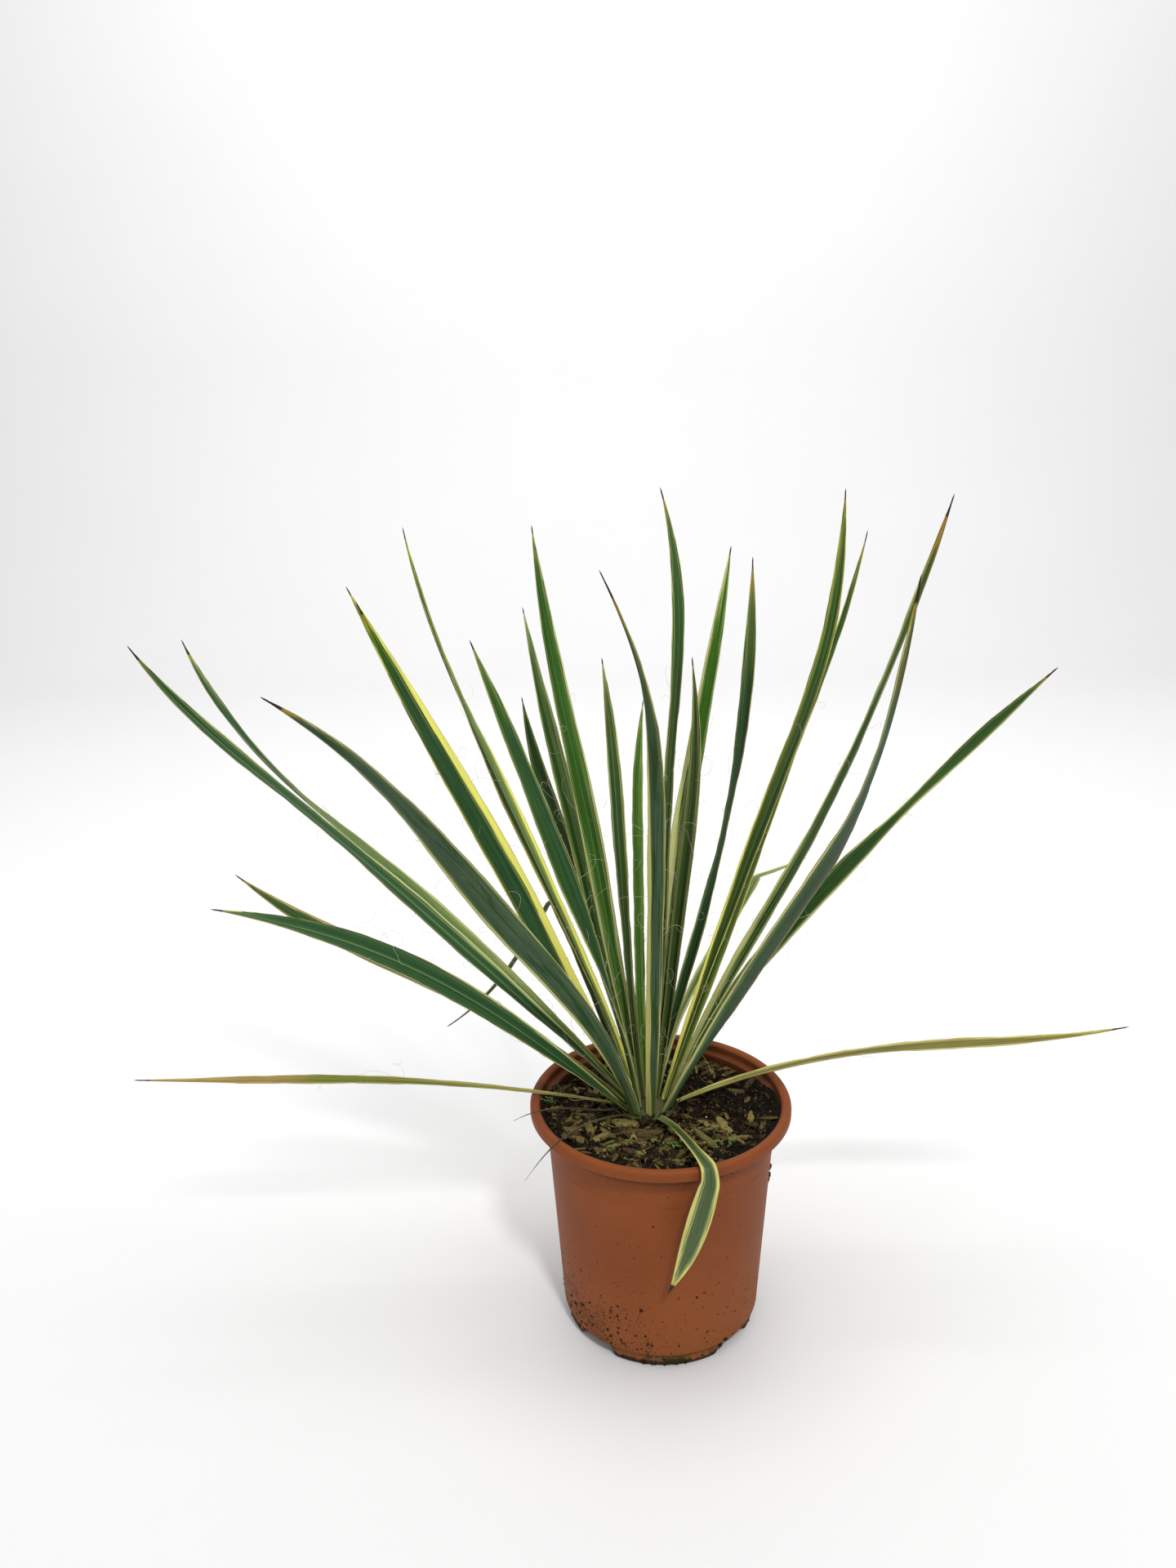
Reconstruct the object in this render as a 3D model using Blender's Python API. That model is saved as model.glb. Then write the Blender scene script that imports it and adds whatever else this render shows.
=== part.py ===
"""Potted yucca: a stemless variegated yucca in a round terracotta-coloured nursery pot.

Millimetres are used for every size below and turned into metres when a mesh is
made. The origin is the middle of the pot's underside, +Z is up, and the front of
the plant faces -Y. Each leaf is one closed blade carried along its own curve, and
stands clear of the crown, the soil and its neighbours.
"""

import math
from dataclasses import dataclass

import bmesh
import bpy
import numpy as np
from mathutils import Matrix, Vector

MM = 0.001
GAP = 0.3

# Pot, a 19 cm nursery pot.
POT_HEIGHT = 176.0
RIM_RADIUS = 95.0
RIM_INNER_RADIUS = 87.7
LIP_HEIGHT = 7.8
LEDGE_HEIGHT = 169.6
WALL_TOP_RADIUS = 83.6
WALL_FOOT_RADIUS = 73.5
WALL_THICKNESS = 1.6
FLOOR_HEIGHT = 10.0
FLOOR_THICKNESS = 2.0
FOOT_RADIUS = 70.6
FOOT_WIDTH = 14.0
FOOT_NOTCH = 24.0
BOSS_RADIUS = 14.0
DRAIN_RADIUS = 4.0
DRAIN_CIRCLE = 42.0
DRAIN_COUNT = 8
POT_SIDES = 72

# Potting mix, level round the crown and heaped against the front of the rim.
SOIL_LEVEL = 163.0
SOIL_HEAP = 7.0
SOIL_LUMP = 0.7
CHIP_COUNT = 52
CHIP_SEED = 11

LARGE_CHIP_THICKNESS = 3.6

# The chips that stand out at the front: x, y, length, width and turn in degrees.
LARGE_CHIPS = (
    (-22.0, -21.0, 26.0, 11.0, 8.0),
    (-14.0, -40.0, 27.0, 6.0, -8.0),
    (34.0, -44.0, 22.0, 6.0, 40.0),
    (42.0, -20.0, 17.0, 7.0, 75.0),
)

# Crown, the short stump that carries the leaves.
CROWN_X = -9.0
CROWN_Y = 7.0
CROWN_DEPTH = 46.0
CROWN_HOLE_RADIUS = 20.0
CROWN_DOME = ((0.0, 8.6), (3.6, 8.2), (8.0, 6.6), (12.5, 4.2), (17.0, 1.2), (19.6, -1.2))
FOOT_CLEARANCE = 0.9

# Rings of leaf bases: radius from the crown's axis and width of the base.
RINGS = {
    "outer": (22.0, 7.5),
    "low": (17.0, 8.0),
    "middle": (12.5, 6.0),
    "high": (8.0, 6.0),
    "heart": (3.6, 5.6),
}

# Blade, the same section on every leaf.
WIDEST_AT = 0.5
TAPER_FROM = 0.57
SPINE_WIDTH = 1.2
EDGE_THICKNESS = 0.8
KEEL_THICKNESS = 1.5
BASE_THICKNESS = 2.4
SPINE_THICKNESS = 0.8
CHANNEL_ANGLES = (34, 18, 12, 14, 30)
FOLD_LENGTH = 9.0
STATIONS = (0, 0.04, 0.09, 0.15, 0.22, 0.29, 0.36, 0.43, 0.5, 0.57, 0.64, 0.71, 0.78, 0.85, 0.91, 0.96, 1)


@dataclass(frozen=True)
class Leaf:
    """One leaf. Angles are in degrees, and each list runs evenly from the foot to the tip.

    A fold is (share of the length, drop, turn, twist), all made within FOLD_LENGTH.
    """

    name: str
    ring: str
    seat: float
    rise: tuple
    heading: tuple
    length: float
    width: float
    roll: tuple = (0, 0)
    folds: tuple = ()


LEAVES = (
    # Left side, from the longest low leaf round to the upright ones.
    Leaf("leaf_01", "middle", 198, (55, 42, 38, 60), (206, 168, 166, 214), 490, 20, (0, -15, 12, -70)),
    Leaf("leaf_02", "middle", 164, (51, 41, 38, 55), (183, 162, 162, 140), 485, 20, (0, -20, 5, 30, -10)),
    Leaf("leaf_03", "low", 240, (71, 53, 52, 34), (219, 222, 228, 236), 455, 20, (20, 77, 54, 12, 23)),
    Leaf("leaf_04", "high", 159, (59, 63, 60, 62), (168, 164, 165, 164), 425, 18, (0, -30, -25, -55)),
    Leaf("leaf_05", "high", 200, (62, 66, 64, 66), (199, 193, 193, 192), 415, 20, (-20, -85, -65, -56, -86)),
    Leaf("leaf_06", "middle", 132, (74, 55, 55, 79), (162, 136, 134, 152), 470, 17, (0, 11, 12, 40, 0)),
    Leaf("leaf_07", "middle", 238, (80, 72, 71, 70), (219, 204, 194, 191), 370, 18, (0, -24, -55, -47, -72)),
    Leaf("leaf_08", "low", 105, (62, 56, 55, 62), (116, 122, 122, 112), 325, 16, (-5, -28)),
    Leaf("leaf_09", "middle", 104, (69, 71, 67, 66), (148, 128, 126, 115), 375, 17, (0, 0, 10, 25)),
    Leaf("leaf_10", "high", 108, (74, 77, 71, 76), (144, 134, 128, 116), 425, 17, (0, -30, 5, -2)),
    Leaf("leaf_11", "low", 207, (48, 44, 35, 18), (206, 202, 209, 200), 350, 19, (-15, -44, -41, -20)),
    Leaf("leaf_12", "low", 172, (38, 30, 25, 37), (167, 170, 173, 170), 335, 15, (0, -20, -55, -40)),
    Leaf("leaf_13", "outer", 182, (13, 8, 3, 2), (182, 183, 184, 180), 350, 11, (0, 0, -6, 9)),
    # Right side, from the upright leaves round to the low ones.
    Leaf("leaf_14", "heart", 60, (81, 87, 80, 72), (33, 47, 61, 147), 440, 14, (0, -10, -35, -40)),
    Leaf("leaf_15", "low", 276, (84, 83, 78, 64), (275, 276, 256, 176), 410, 16, (0, -47, -36, -5)),
    Leaf("leaf_16", "heart", 200, (77, 80, 74, 67), (126, 110, 101, 108), 325, 14, (0, 39, 30, 0)),
    Leaf("leaf_17", "low", 84, (65, 75, 66, 59), (107, 90, 88, 73), 300, 12, (0, 40, 45, 20)),
    Leaf("leaf_18", "high", 66, (79, 79, 73, 75), (43, 52, 48, 53), 405, 17, (0, 25, -8, 12)),
    Leaf("leaf_19", "high", 17, (80, 81, 78, 79), (38, 44, 59, 116), 325, 11, (0, 10, 20, -10)),
    Leaf("leaf_20", "middle", 60, (76, 67, 73, 82), (24, 42, 58, 88), 405, 15, (0, 0, -42, -25, 5)),
    Leaf("leaf_21", "middle", 0, (74, 63, 60, 82), (14, 37, 44, 77), 475, 17, (0, -10, -19, -14)),
    Leaf("leaf_22", "low", 36, (60, 57, 54, 74), (38, 47, 47, 37), 470, 15, (0, -12, -37, -5)),
    Leaf("leaf_23", "low", 10, (69, 61, 68, 75), (10, 4, 8, 0), 475, 17, (0, 20, 0, -8, 40)),
    Leaf("leaf_24", "low", 310, (63, 61, 57, 77), (327, 329, 284, 278), 460, 18, (0, -40, -10, 50, 30)),
    Leaf("leaf_25", "low", 340, (71, 56, 48, 46), (345, 342, 356, 353), 415, 19, (0, 38, 14, 24)),
    Leaf("leaf_26", "outer", 0, (20, 7, 6, 16), (8, 6, -7, -9), 335, 14, (0, -17, -5, -8)),
    # Kinked old leaves: one behind each side, and the one folded over the front of the rim.
    Leaf("leaf_27", "low", 60, (70, 33, 25, 38), (56, 56, 56, 56), 255, 12, (0, -30, -28, 0),
         ((0.82, 20, -39, 0),)),
    Leaf("leaf_28", "low", 129, (57, 60, 55, 82), (129, 135, 140, 134), 285, 9, (0, 0),
         ((0.55, 112, 56, 0),)),
    Leaf("leaf_29", "outer", 288, (16, 8, 2, 4, 14), (296, 287, 288, 288, 288), 188, 17, (0, 25, 5, 0, 0),
         ((0.46, 82, 0, 0), (0.515, -4, -112, -90))),
    Leaf("withered_leaf_1", "outer", 198, (4, 20, 7, -20), (203, 204, 203, 200), 85, 4),
    Leaf("withered_leaf_2", "outer", 224, (22, 12, -8, -32), (227, 226, 230, 230), 110, 4),
)

LEAF_GREEN = (0.045, 0.115, 0.035)
OLD_LEAF_YELLOW = (0.33, 0.30, 0.07)
WITHERED_GREY = (0.16, 0.13, 0.09)
OLD_LEAVES = ("leaf_13", "leaf_26")


def clear_scene():
    for obj in list(bpy.data.objects):
        bpy.data.objects.remove(obj, do_unlink=True)


def make_material(name, colour, roughness, metallic=0.0):
    material = bpy.data.materials.new(name)
    material.use_nodes = True
    shader = material.node_tree.nodes["Principled BSDF"]
    shader.inputs["Base Color"].default_value = (*colour, 1.0)
    shader.inputs["Roughness"].default_value = roughness
    shader.inputs["Metallic"].default_value = metallic
    return material


def object_from_bmesh(name, bm, material=None):
    mesh = bpy.data.meshes.new(name)
    bm.to_mesh(mesh)
    bm.free()
    obj = bpy.data.objects.new(name, mesh)
    bpy.context.scene.collection.objects.link(obj)
    if material:
        mesh.materials.append(material)
    return obj


def object_from_points(name, points_mm, faces, material=None):
    mesh = bpy.data.meshes.new(name)
    mesh.from_pydata((np.asarray(points_mm) * MM).tolist(), [], faces)
    obj = bpy.data.objects.new(name, mesh)
    bpy.context.scene.collection.objects.link(obj)
    if material:
        mesh.materials.append(material)
    return obj


def turned(name, profile, sides=POT_SIDES, centre=(0.0, 0.0), material=None):
    """A solid of revolution round an upright axis, from a closed profile of (radius, height) in mm."""
    bm = bmesh.new()
    points = [bm.verts.new((r * MM, 0.0, z * MM)) for r, z in profile]
    edges = [bm.edges.new(pair) for pair in zip(points, points[1:])]
    if profile[0][0] > 0:
        edges.append(bm.edges.new((points[-1], points[0])))
    bmesh.ops.spin(
        bm,
        geom=points + edges,
        cent=(0.0, 0.0, 0.0),
        axis=(0.0, 0.0, 1.0),
        angle=math.tau,
        steps=sides,
        use_merge=True,
    )
    bmesh.ops.remove_doubles(bm, verts=bm.verts, dist=1e-6)
    bmesh.ops.recalc_face_normals(bm, faces=bm.faces)
    bmesh.ops.translate(bm, vec=(centre[0] * MM, centre[1] * MM, 0.0), verts=bm.verts)
    return object_from_bmesh(name, bm, material)


def cross_of_bars(name, width, height):
    """Two crossed bars on the diagonals, as long as the pot is wide, standing on z = 0."""
    bars = []
    for turn in (45, 135):
        bm = bmesh.new()
        bmesh.ops.create_cube(bm, size=1.0)
        bmesh.ops.scale(bm, vec=(2.4 * RIM_RADIUS * MM, width * MM, 2 * height * MM), verts=bm.verts)
        bmesh.ops.rotate(
            bm,
            cent=(0.0, 0.0, 0.0),
            matrix=Matrix.Rotation(math.radians(turn), 3, "Z"),
            verts=bm.verts,
        )
        bars.append(object_from_bmesh(f"{name}_{turn}", bm))
    return combine(bars[0], bars[1:], "UNION")


def combine(target, others, operation, solver="EXACT"):
    """Applies one Boolean of the others to the target and removes them.

    EXACT leaves an open edge where the pot's feet and webs meet, so the pot and soil use MANIFOLD.
    """
    group = bpy.data.collections.new("operands")
    bpy.context.scene.collection.children.link(group)
    for other in others:
        bpy.context.scene.collection.objects.unlink(other)
        group.objects.link(other)
    modifier = target.modifiers.new("Combine", "BOOLEAN")
    modifier.operation = operation
    modifier.operand_type = "COLLECTION"
    modifier.collection = group
    modifier.solver = solver
    bpy.context.view_layer.update()
    graph = bpy.context.evaluated_depsgraph_get()
    result = bpy.data.meshes.new_from_object(target.evaluated_get(graph))
    target.modifiers.remove(modifier)
    target.data = result
    for other in others:
        bpy.data.objects.remove(other, do_unlink=True)
    bpy.data.collections.remove(group)
    return target


def shade_round(obj, angle=40.0):
    obj.data.shade_smooth()
    obj.data.set_sharp_from_angle(angle=math.radians(angle))


def wall_radius(height):
    """Outer radius of the tapered pot wall at a height in mm."""
    share = (height - FLOOR_HEIGHT) / (LEDGE_HEIGHT - WALL_THICKNESS - FLOOR_HEIGHT)
    return WALL_FOOT_RADIUS + share * (WALL_TOP_RADIUS - WALL_FOOT_RADIUS)


def bore_radius(height):
    return wall_radius(height) - WALL_THICKNESS


def pot_profile():
    """Half section of the pot: underside, wall, hollow lip, ledge, then down the inside."""
    under_ledge = LEDGE_HEIGHT - WALL_THICKNESS
    lip_foot = POT_HEIGHT - LIP_HEIGHT
    floor_top = FLOOR_HEIGHT + FLOOR_THICKNESS
    collar = RIM_INNER_RADIUS
    return [
        (0.0, 0.0),
        (BOSS_RADIUS, 0.0),
        (BOSS_RADIUS, FLOOR_HEIGHT),
        (WALL_FOOT_RADIUS - 1.0, FLOOR_HEIGHT),
        (WALL_FOOT_RADIUS, FLOOR_HEIGHT + 1.0),
        (WALL_TOP_RADIUS, under_ledge),
        (collar + 1.2, under_ledge),
        (collar + 1.8, POT_HEIGHT - 1.8),
        (RIM_RADIUS - 1.8, POT_HEIGHT - 1.8),
        (RIM_RADIUS - 1.5, lip_foot + 0.4),
        (RIM_RADIUS - 0.6, lip_foot),
        (RIM_RADIUS, lip_foot + 0.8),
        (RIM_RADIUS, POT_HEIGHT - 2.0),
        (RIM_RADIUS - 0.5, POT_HEIGHT - 0.8),
        (RIM_RADIUS - 1.7, POT_HEIGHT),
        (RIM_RADIUS - 4.6, POT_HEIGHT),
        (collar + 0.8, POT_HEIGHT - 0.7),
        (collar, POT_HEIGHT - 1.8),
        (collar - 0.4, LEDGE_HEIGHT),
        (WALL_TOP_RADIUS - 1.0, LEDGE_HEIGHT),
        (bore_radius(under_ledge), LEDGE_HEIGHT - 0.7),
        (bore_radius(floor_top), floor_top),
        (0.0, floor_top),
    ]


def pot_feet():
    """Four feet left between crossed notches, standing under the floor."""
    ring = turned(
        "feet",
        [
            (FOOT_RADIUS - FOOT_WIDTH, 0.0),
            (FOOT_RADIUS - 0.6, 0.0),
            (FOOT_RADIUS, 0.6),
            (FOOT_RADIUS + 0.4, FLOOR_HEIGHT + 0.5 * FLOOR_THICKNESS),
            (FOOT_RADIUS - FOOT_WIDTH, FLOOR_HEIGHT + 0.5 * FLOOR_THICKNESS),
        ],
    )
    return combine(ring, [cross_of_bars("notches", FOOT_NOTCH, 2 * FLOOR_HEIGHT)], "DIFFERENCE")


def foot_hollows():
    """The space inside each foot, open to the inside of the pot."""
    floor_top = FLOOR_HEIGHT + FLOOR_THICKNESS
    inner = FOOT_RADIUS - FOOT_WIDTH + FLOOR_THICKNESS
    outer = FOOT_RADIUS - FLOOR_THICKNESS
    ring = turned(
        "hollows",
        [
            (inner, FLOOR_THICKNESS),
            (outer, FLOOR_THICKNESS),
            (outer, floor_top + 2.0),
            (inner, floor_top + 2.0),
        ],
    )
    bars = cross_of_bars("webs", FOOT_NOTCH + 2 * FLOOR_THICKNESS, 2 * floor_top)
    return combine(ring, [bars], "DIFFERENCE")


def drain_holes():
    holes = []
    for index in range(DRAIN_COUNT):
        angle = math.tau * (index + 0.5) / DRAIN_COUNT
        centre = (DRAIN_CIRCLE * math.cos(angle), DRAIN_CIRCLE * math.sin(angle))
        profile = [(0.0, 5.0), (DRAIN_RADIUS, 5.0), (DRAIN_RADIUS, 20.0), (0.0, 20.0)]
        holes.append(turned(f"drain_{index}", profile, sides=16, centre=centre))
    return holes


def make_pot():
    plastic = make_material("pot_plastic", (0.42, 0.14, 0.06), 0.5)
    pot = turned("pot", pot_profile(), material=plastic)
    combine(pot, [pot_feet()], "UNION", solver="MANIFOLD")
    combine(pot, [foot_hollows(), *drain_holes()], "DIFFERENCE", solver="MANIFOLD")
    shade_round(pot)
    return pot


def smooth_step(share):
    share = np.clip(share, 0.0, 1.0)
    return share * share * (3.0 - 2.0 * share)


def heap_share(angle):
    """1 where the soil is heaped over the ledge (front and sides), 0 round the back."""
    from_back = np.abs((np.degrees(angle) - 90.0 + 180.0) % 360.0 - 180.0)
    return np.clip((from_back - 60.0) / 24.0, 0.0, 1.0)


def soil_rim(heap):
    """Three points up the soil's edge, up the bore first and then out over the ledge."""
    up = np.clip(2.0 * heap, 0.0, 1.0)
    out = smooth_step(2.0 * heap - 1.0)
    bore = bore_radius(SOIL_LEVEL) - 1.6 * GAP
    ledge = RIM_INNER_RADIUS - 0.4 - GAP
    start = SOIL_LEVEL - 1.5
    return (
        (bore + 0.0 * heap, start + up * (LEDGE_HEIGHT + GAP - start)),
        (bore + out * (ledge - bore), start + 1.0 + up * (LEDGE_HEIGHT + GAP - start - 0.7) - 0.3 * out),
        (bore + out * (ledge - 0.3 - bore), start + 2.4 + up * (SOIL_HEAP - 0.1)),
    )


def soil_top(x, y, heap, inward):
    """Height of the potting mix: level near the crown, rising towards a heaped edge."""
    rise = SOIL_HEAP * smooth_step(heap) * smooth_step(1.15 * inward) ** 1.5
    lump = np.sin(0.31 * x + 1.3) * np.sin(0.27 * y + 0.4) + 0.6 * np.sin(0.53 * x - 0.47 * y)
    return SOIL_LEVEL + rise + SOIL_LUMP * lump * smooth_step(4.0 * inward) * smooth_step(5.0 - 5.0 * inward)


def soil_rings(angle):
    """Rings of points from the middle of the soil's underside round its outside to the crown's hole."""
    across = np.stack([np.cos(angle), np.sin(angle)], axis=-1)
    heap = heap_share(angle)
    crown = np.array([CROWN_X, CROWN_Y])
    hole = crown + CROWN_HOLE_RADIUS * across
    floor = FLOOR_HEIGHT + FLOOR_THICKNESS + GAP
    rings = [(0.5 * (bore_radius(floor) - GAP) * across, floor + 0 * angle)]
    rings.append(((bore_radius(floor) - GAP) * across, floor + 0 * angle))
    rim = soil_rim(heap)
    for radius, height in rim:
        rings.append((radius[:, None] * across, height))
    edge, edge_height = rings[-1]
    for share in (0.9, 0.78, 0.64, 0.5, 0.36, 0.22, 0.1, 0.0):
        place = hole + share * (edge - hole)
        height = soil_top(place[:, 0], place[:, 1], heap, share * np.ones_like(angle))
        blend = smooth_step((share - 0.78) / 0.22)
        rings.append((place, height + blend * (edge_height - height)))
    rings.append((crown + (CROWN_HOLE_RADIUS - 0.5) * across, SOIL_LEVEL - 8.0 + 0 * angle))
    rings.append((crown + 0.45 * CROWN_HOLE_RADIUS * across, SOIL_LEVEL - CROWN_DEPTH - GAP + 0 * angle))
    return rings


def make_soil():
    dark = make_material("potting_mix", (0.035, 0.022, 0.014), 0.95)
    count = POT_SIDES
    angle = np.linspace(0.0, math.tau, count, endpoint=False)
    rings = soil_rings(angle)
    points = [[0.0, 0.0, FLOOR_HEIGHT + FLOOR_THICKNESS + GAP]]
    for place, height in rings:
        points.extend(np.column_stack([place, height]).tolist())
    points.append([CROWN_X, CROWN_Y, SOIL_LEVEL - CROWN_DEPTH - GAP])
    faces = []
    last = len(points) - 1
    for step in range(count):
        after = (step + 1) % count
        faces.append((0, 1 + after, 1 + step))
        for ring in range(len(rings) - 1):
            low = 1 + ring * count
            high = low + count
            faces.append((low + step, low + after, high + after, high + step))
        top = 1 + (len(rings) - 1) * count
        faces.append((top + step, top + after, last))
    soil = object_from_points("soil", points, faces, dark)
    combine(soil, bark_chips(), "UNION", solver="MANIFOLD")
    return soil


def crown_height(radius):
    """Height of the crown's domed top above the soil level, by radius from its axis."""
    places, heights = zip(*CROWN_DOME)
    return np.interp(radius, places, heights)


def make_crown():
    bark = make_material("crown_bark", (0.16, 0.10, 0.05), 0.8)
    profile = [(0.0, SOIL_LEVEL - CROWN_DEPTH)]
    profile.append((0.45 * CROWN_HOLE_RADIUS - GAP, SOIL_LEVEL - CROWN_DEPTH))
    profile.append((CROWN_HOLE_RADIUS - 0.5 - GAP, SOIL_LEVEL - 8.0))
    profile.extend((radius, SOIL_LEVEL + height) for radius, height in reversed(CROWN_DOME))
    crown = turned("crown", profile, sides=32, centre=(CROWN_X, CROWN_Y), material=bark)
    shade_round(crown)
    return crown


def along(values, share):
    """A smooth curve through evenly spaced values, read at shares of the length."""
    values = np.asarray(values, dtype=float)
    spans = len(values) - 1
    place = np.clip(share * spans, 0.0, spans - 1e-9)
    index = place.astype(int)
    part = place - index
    slope = np.gradient(values)
    start = values[index] * (1 + 2 * part) * (1 - part) ** 2 + slope[index] * part * (1 - part) ** 2
    end = values[index + 1] * part**2 * (3 - 2 * part) + slope[index + 1] * part**2 * (part - 1)
    return start + end


def leaf_angles(leaf, share):
    """Rise, heading and roll in radians at shares of the leaf's length, with its folds added."""
    rise = along(leaf.rise, share)
    heading = along(leaf.heading, share)
    roll = along(leaf.roll, share)
    for place, drop, turn, twist in leaf.folds:
        done = smooth_step((share - place) * leaf.length / FOLD_LENGTH + 0.5)
        rise = rise - drop * done
        heading = heading + turn * done
        roll = roll + twist * done
    return np.radians(rise), np.radians(heading), np.radians(roll)


def leaf_path(leaf, stations):
    """Centre line from the seat on the crown, adding up short steps along the changing direction."""
    radius, _ = RINGS[leaf.ring]
    seat = math.radians(leaf.seat)
    steps = np.linspace(0.0, 1.0, 241)
    rise, heading, _ = leaf_angles(leaf, 0.5 * (steps[1:] + steps[:-1]))
    direction = np.stack(
        [np.cos(rise) * np.cos(heading), np.cos(rise) * np.sin(heading), np.sin(rise)], axis=-1
    )
    line = np.vstack([np.zeros(3), np.cumsum(direction, axis=0) * leaf.length / 240])
    line += (CROWN_X + radius * math.cos(seat), CROWN_Y + radius * math.sin(seat), SOIL_LEVEL)
    return np.stack([np.interp(stations, steps, line[:, axis]) for axis in range(3)], axis=-1)


def leaf_frame(leaf, stations):
    """Directions across the blade and out of its upper face, turned by the roll."""
    rise, heading, roll = leaf_angles(leaf, stations)
    zero = np.zeros_like(rise)
    level = np.stack([-np.sin(heading), np.cos(heading), zero], axis=-1)
    lean = -np.sin(rise)
    upper = np.stack([lean * np.cos(heading), lean * np.sin(heading), np.cos(rise)], axis=-1)
    cos_roll = np.cos(roll)[:, None]
    sin_roll = np.sin(roll)[:, None]
    return level * cos_roll + upper * sin_roll, upper * cos_roll - level * sin_roll


def blade_width(leaf, stations):
    """Narrow at the clasping base, widest at the middle, then drawn out into the end spine."""
    base = min(RINGS[leaf.ring][1], max(0.5 * leaf.width, 4.0))
    growth = np.clip(stations / WIDEST_AT, 0.0, 1.0) ** 0.8
    taper = np.clip((stations - TAPER_FROM) / (1.0 - TAPER_FROM), 0.0, 1.0) ** 2.2
    return np.maximum((base + (leaf.width - base) * growth) * (1.0 - taper), SPINE_WIDTH)


def blade_sections(leaf, stations):
    """Six points round the blade at each station: upper edge, keel and edge, then back below."""
    width = blade_width(leaf, stations)
    channel = np.radians(along(CHANNEL_ANGLES, stations))
    thickness = (BASE_THICKNESS, KEEL_THICKNESS, KEEL_THICKNESS, SPINE_THICKNESS)
    thick = np.interp(stations, (0.0, 0.2, 0.8, 1.0), thickness)
    reach = 0.5 * width * np.cos(channel)
    lift = 0.25 * width * np.sin(channel)
    half = 0.5 * EDGE_THICKNESS + 0 * width
    sides = (
        (-reach, lift + half),
        (0 * width, 0.5 * thick - lift),
        (reach, lift + half),
        (reach, lift - half),
        (0 * width, -0.5 * thick - lift),
        (-reach, lift - half),
    )
    across, upper = leaf_frame(leaf, stations)
    path = leaf_path(leaf, stations)
    rings = [path + side[:, None] * across + up[:, None] * upper for side, up in sides]
    return np.stack(rings, axis=1)


def stand_on_crown(sections):
    """Lifts or lowers a blade so that its foot clears the crown and soil by one gap."""
    foot = sections[:3].reshape(-1, 3)
    radius = np.hypot(foot[:, 0] - CROWN_X, foot[:, 1] - CROWN_Y)
    ground = SOIL_LEVEL + np.where(radius < CROWN_HOLE_RADIUS, crown_height(radius), FOOT_CLEARANCE)
    return sections - np.array([0.0, 0.0, np.min(foot[:, 2] - ground) - GAP - 0.1])


def leaf_stations(leaf):
    """Shares of the length where sections are cut, closer together through a fold."""
    stations = set(STATIONS)
    half = 0.5 * FOLD_LENGTH / leaf.length
    for fold in leaf.folds:
        stations = {share for share in stations if abs(share - fold[0]) > 1.4 * half}
    for fold in leaf.folds:
        stations |= {fold[0] + step * half for step in (-1.0, -0.5, 0.0, 0.5, 1.0)}
    return np.array(sorted(stations))


def make_leaf(leaf, material):
    sections = stand_on_crown(blade_sections(leaf, leaf_stations(leaf)))
    count, sides = sections.shape[:2]
    faces = [tuple(range(sides))]
    for ring in range(count - 1):
        low = ring * sides
        for side in range(sides):
            after = (side + 1) % sides
            faces.append((low + after, low + side, low + sides + side, low + sides + after))
    faces.append(tuple(reversed(range((count - 1) * sides, count * sides))))
    blade = object_from_points(leaf.name, sections.reshape(-1, 3), faces, material)
    blade.data.shade_smooth()
    blade.data.set_sharp_from_angle(angle=math.radians(50.0))
    return blade


def near_a_leaf(x, y, reach):
    """True where a blade passes low over the soil within reach of the point."""
    stations = np.linspace(0.0, 0.6, 49)
    for leaf in LEAVES:
        path = stand_on_crown(blade_sections(leaf, stations)).mean(axis=1)
        low = path[path[:, 2] < SOIL_LEVEL + 16.0]
        gap = np.hypot(low[:, 0] - x, low[:, 1] - y)
        if gap.size and gap.min() < reach + 0.5 * leaf.width:
            return True
    return False


def chip(name, place, size, turn, tilt, rng):
    """One rough bark chip: a box with every corner pulled about."""
    bm = bmesh.new()
    bmesh.ops.create_cube(bm, size=1.0)
    for vert in bm.verts:
        vert.co += Vector(rng.uniform(-0.16, 0.16, 3))
    bmesh.ops.scale(bm, vec=[side * MM for side in size], verts=bm.verts)
    lean = Matrix.Rotation(tilt, 3, "X")
    swing = Matrix.Rotation(turn, 3, "Z")
    bmesh.ops.rotate(bm, cent=(0.0, 0.0, 0.0), matrix=swing @ lean, verts=bm.verts)
    bmesh.ops.translate(bm, vec=[value * MM for value in place], verts=bm.verts)
    bmesh.ops.triangulate(bm, faces=bm.faces)
    return object_from_bmesh(name, bm)


def bark_chips():
    """The named large chips, then small ones scattered by a seeded rule clear of the leaves."""
    rng = np.random.default_rng(CHIP_SEED)
    chips = []
    for index, (x, y, length, width, turn) in enumerate(LARGE_CHIPS):
        place = (x, y, soil_height(x, y) + 0.6)
        size = (length, width, LARGE_CHIP_THICKNESS)
        chips.append(chip(f"large_{index}", place, size, math.radians(turn), 0.12, rng))
    while len(chips) < CHIP_COUNT:
        angle = rng.uniform(0.0, math.tau)
        radius = 71.0 * math.sqrt(rng.uniform(0.06, 1.0))
        x = radius * math.cos(angle)
        y = radius * math.sin(angle)
        size = (rng.uniform(5.0, 12.0), rng.uniform(3.5, 6.5), rng.uniform(2.6, 3.6))
        turn = rng.uniform(0.0, math.pi)
        tilt = rng.uniform(-0.25, 0.25)
        if math.hypot(x - CROWN_X, y - CROWN_Y) < CROWN_HOLE_RADIUS + 9.0:
            continue
        if near_a_leaf(x, y, 0.5 * size[0]):
            continue
        place = (x, y, soil_height(x, y) + 0.3)
        chips.append(chip(f"chip_{len(chips)}", place, size, turn, tilt, rng))
    return chips


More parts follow.
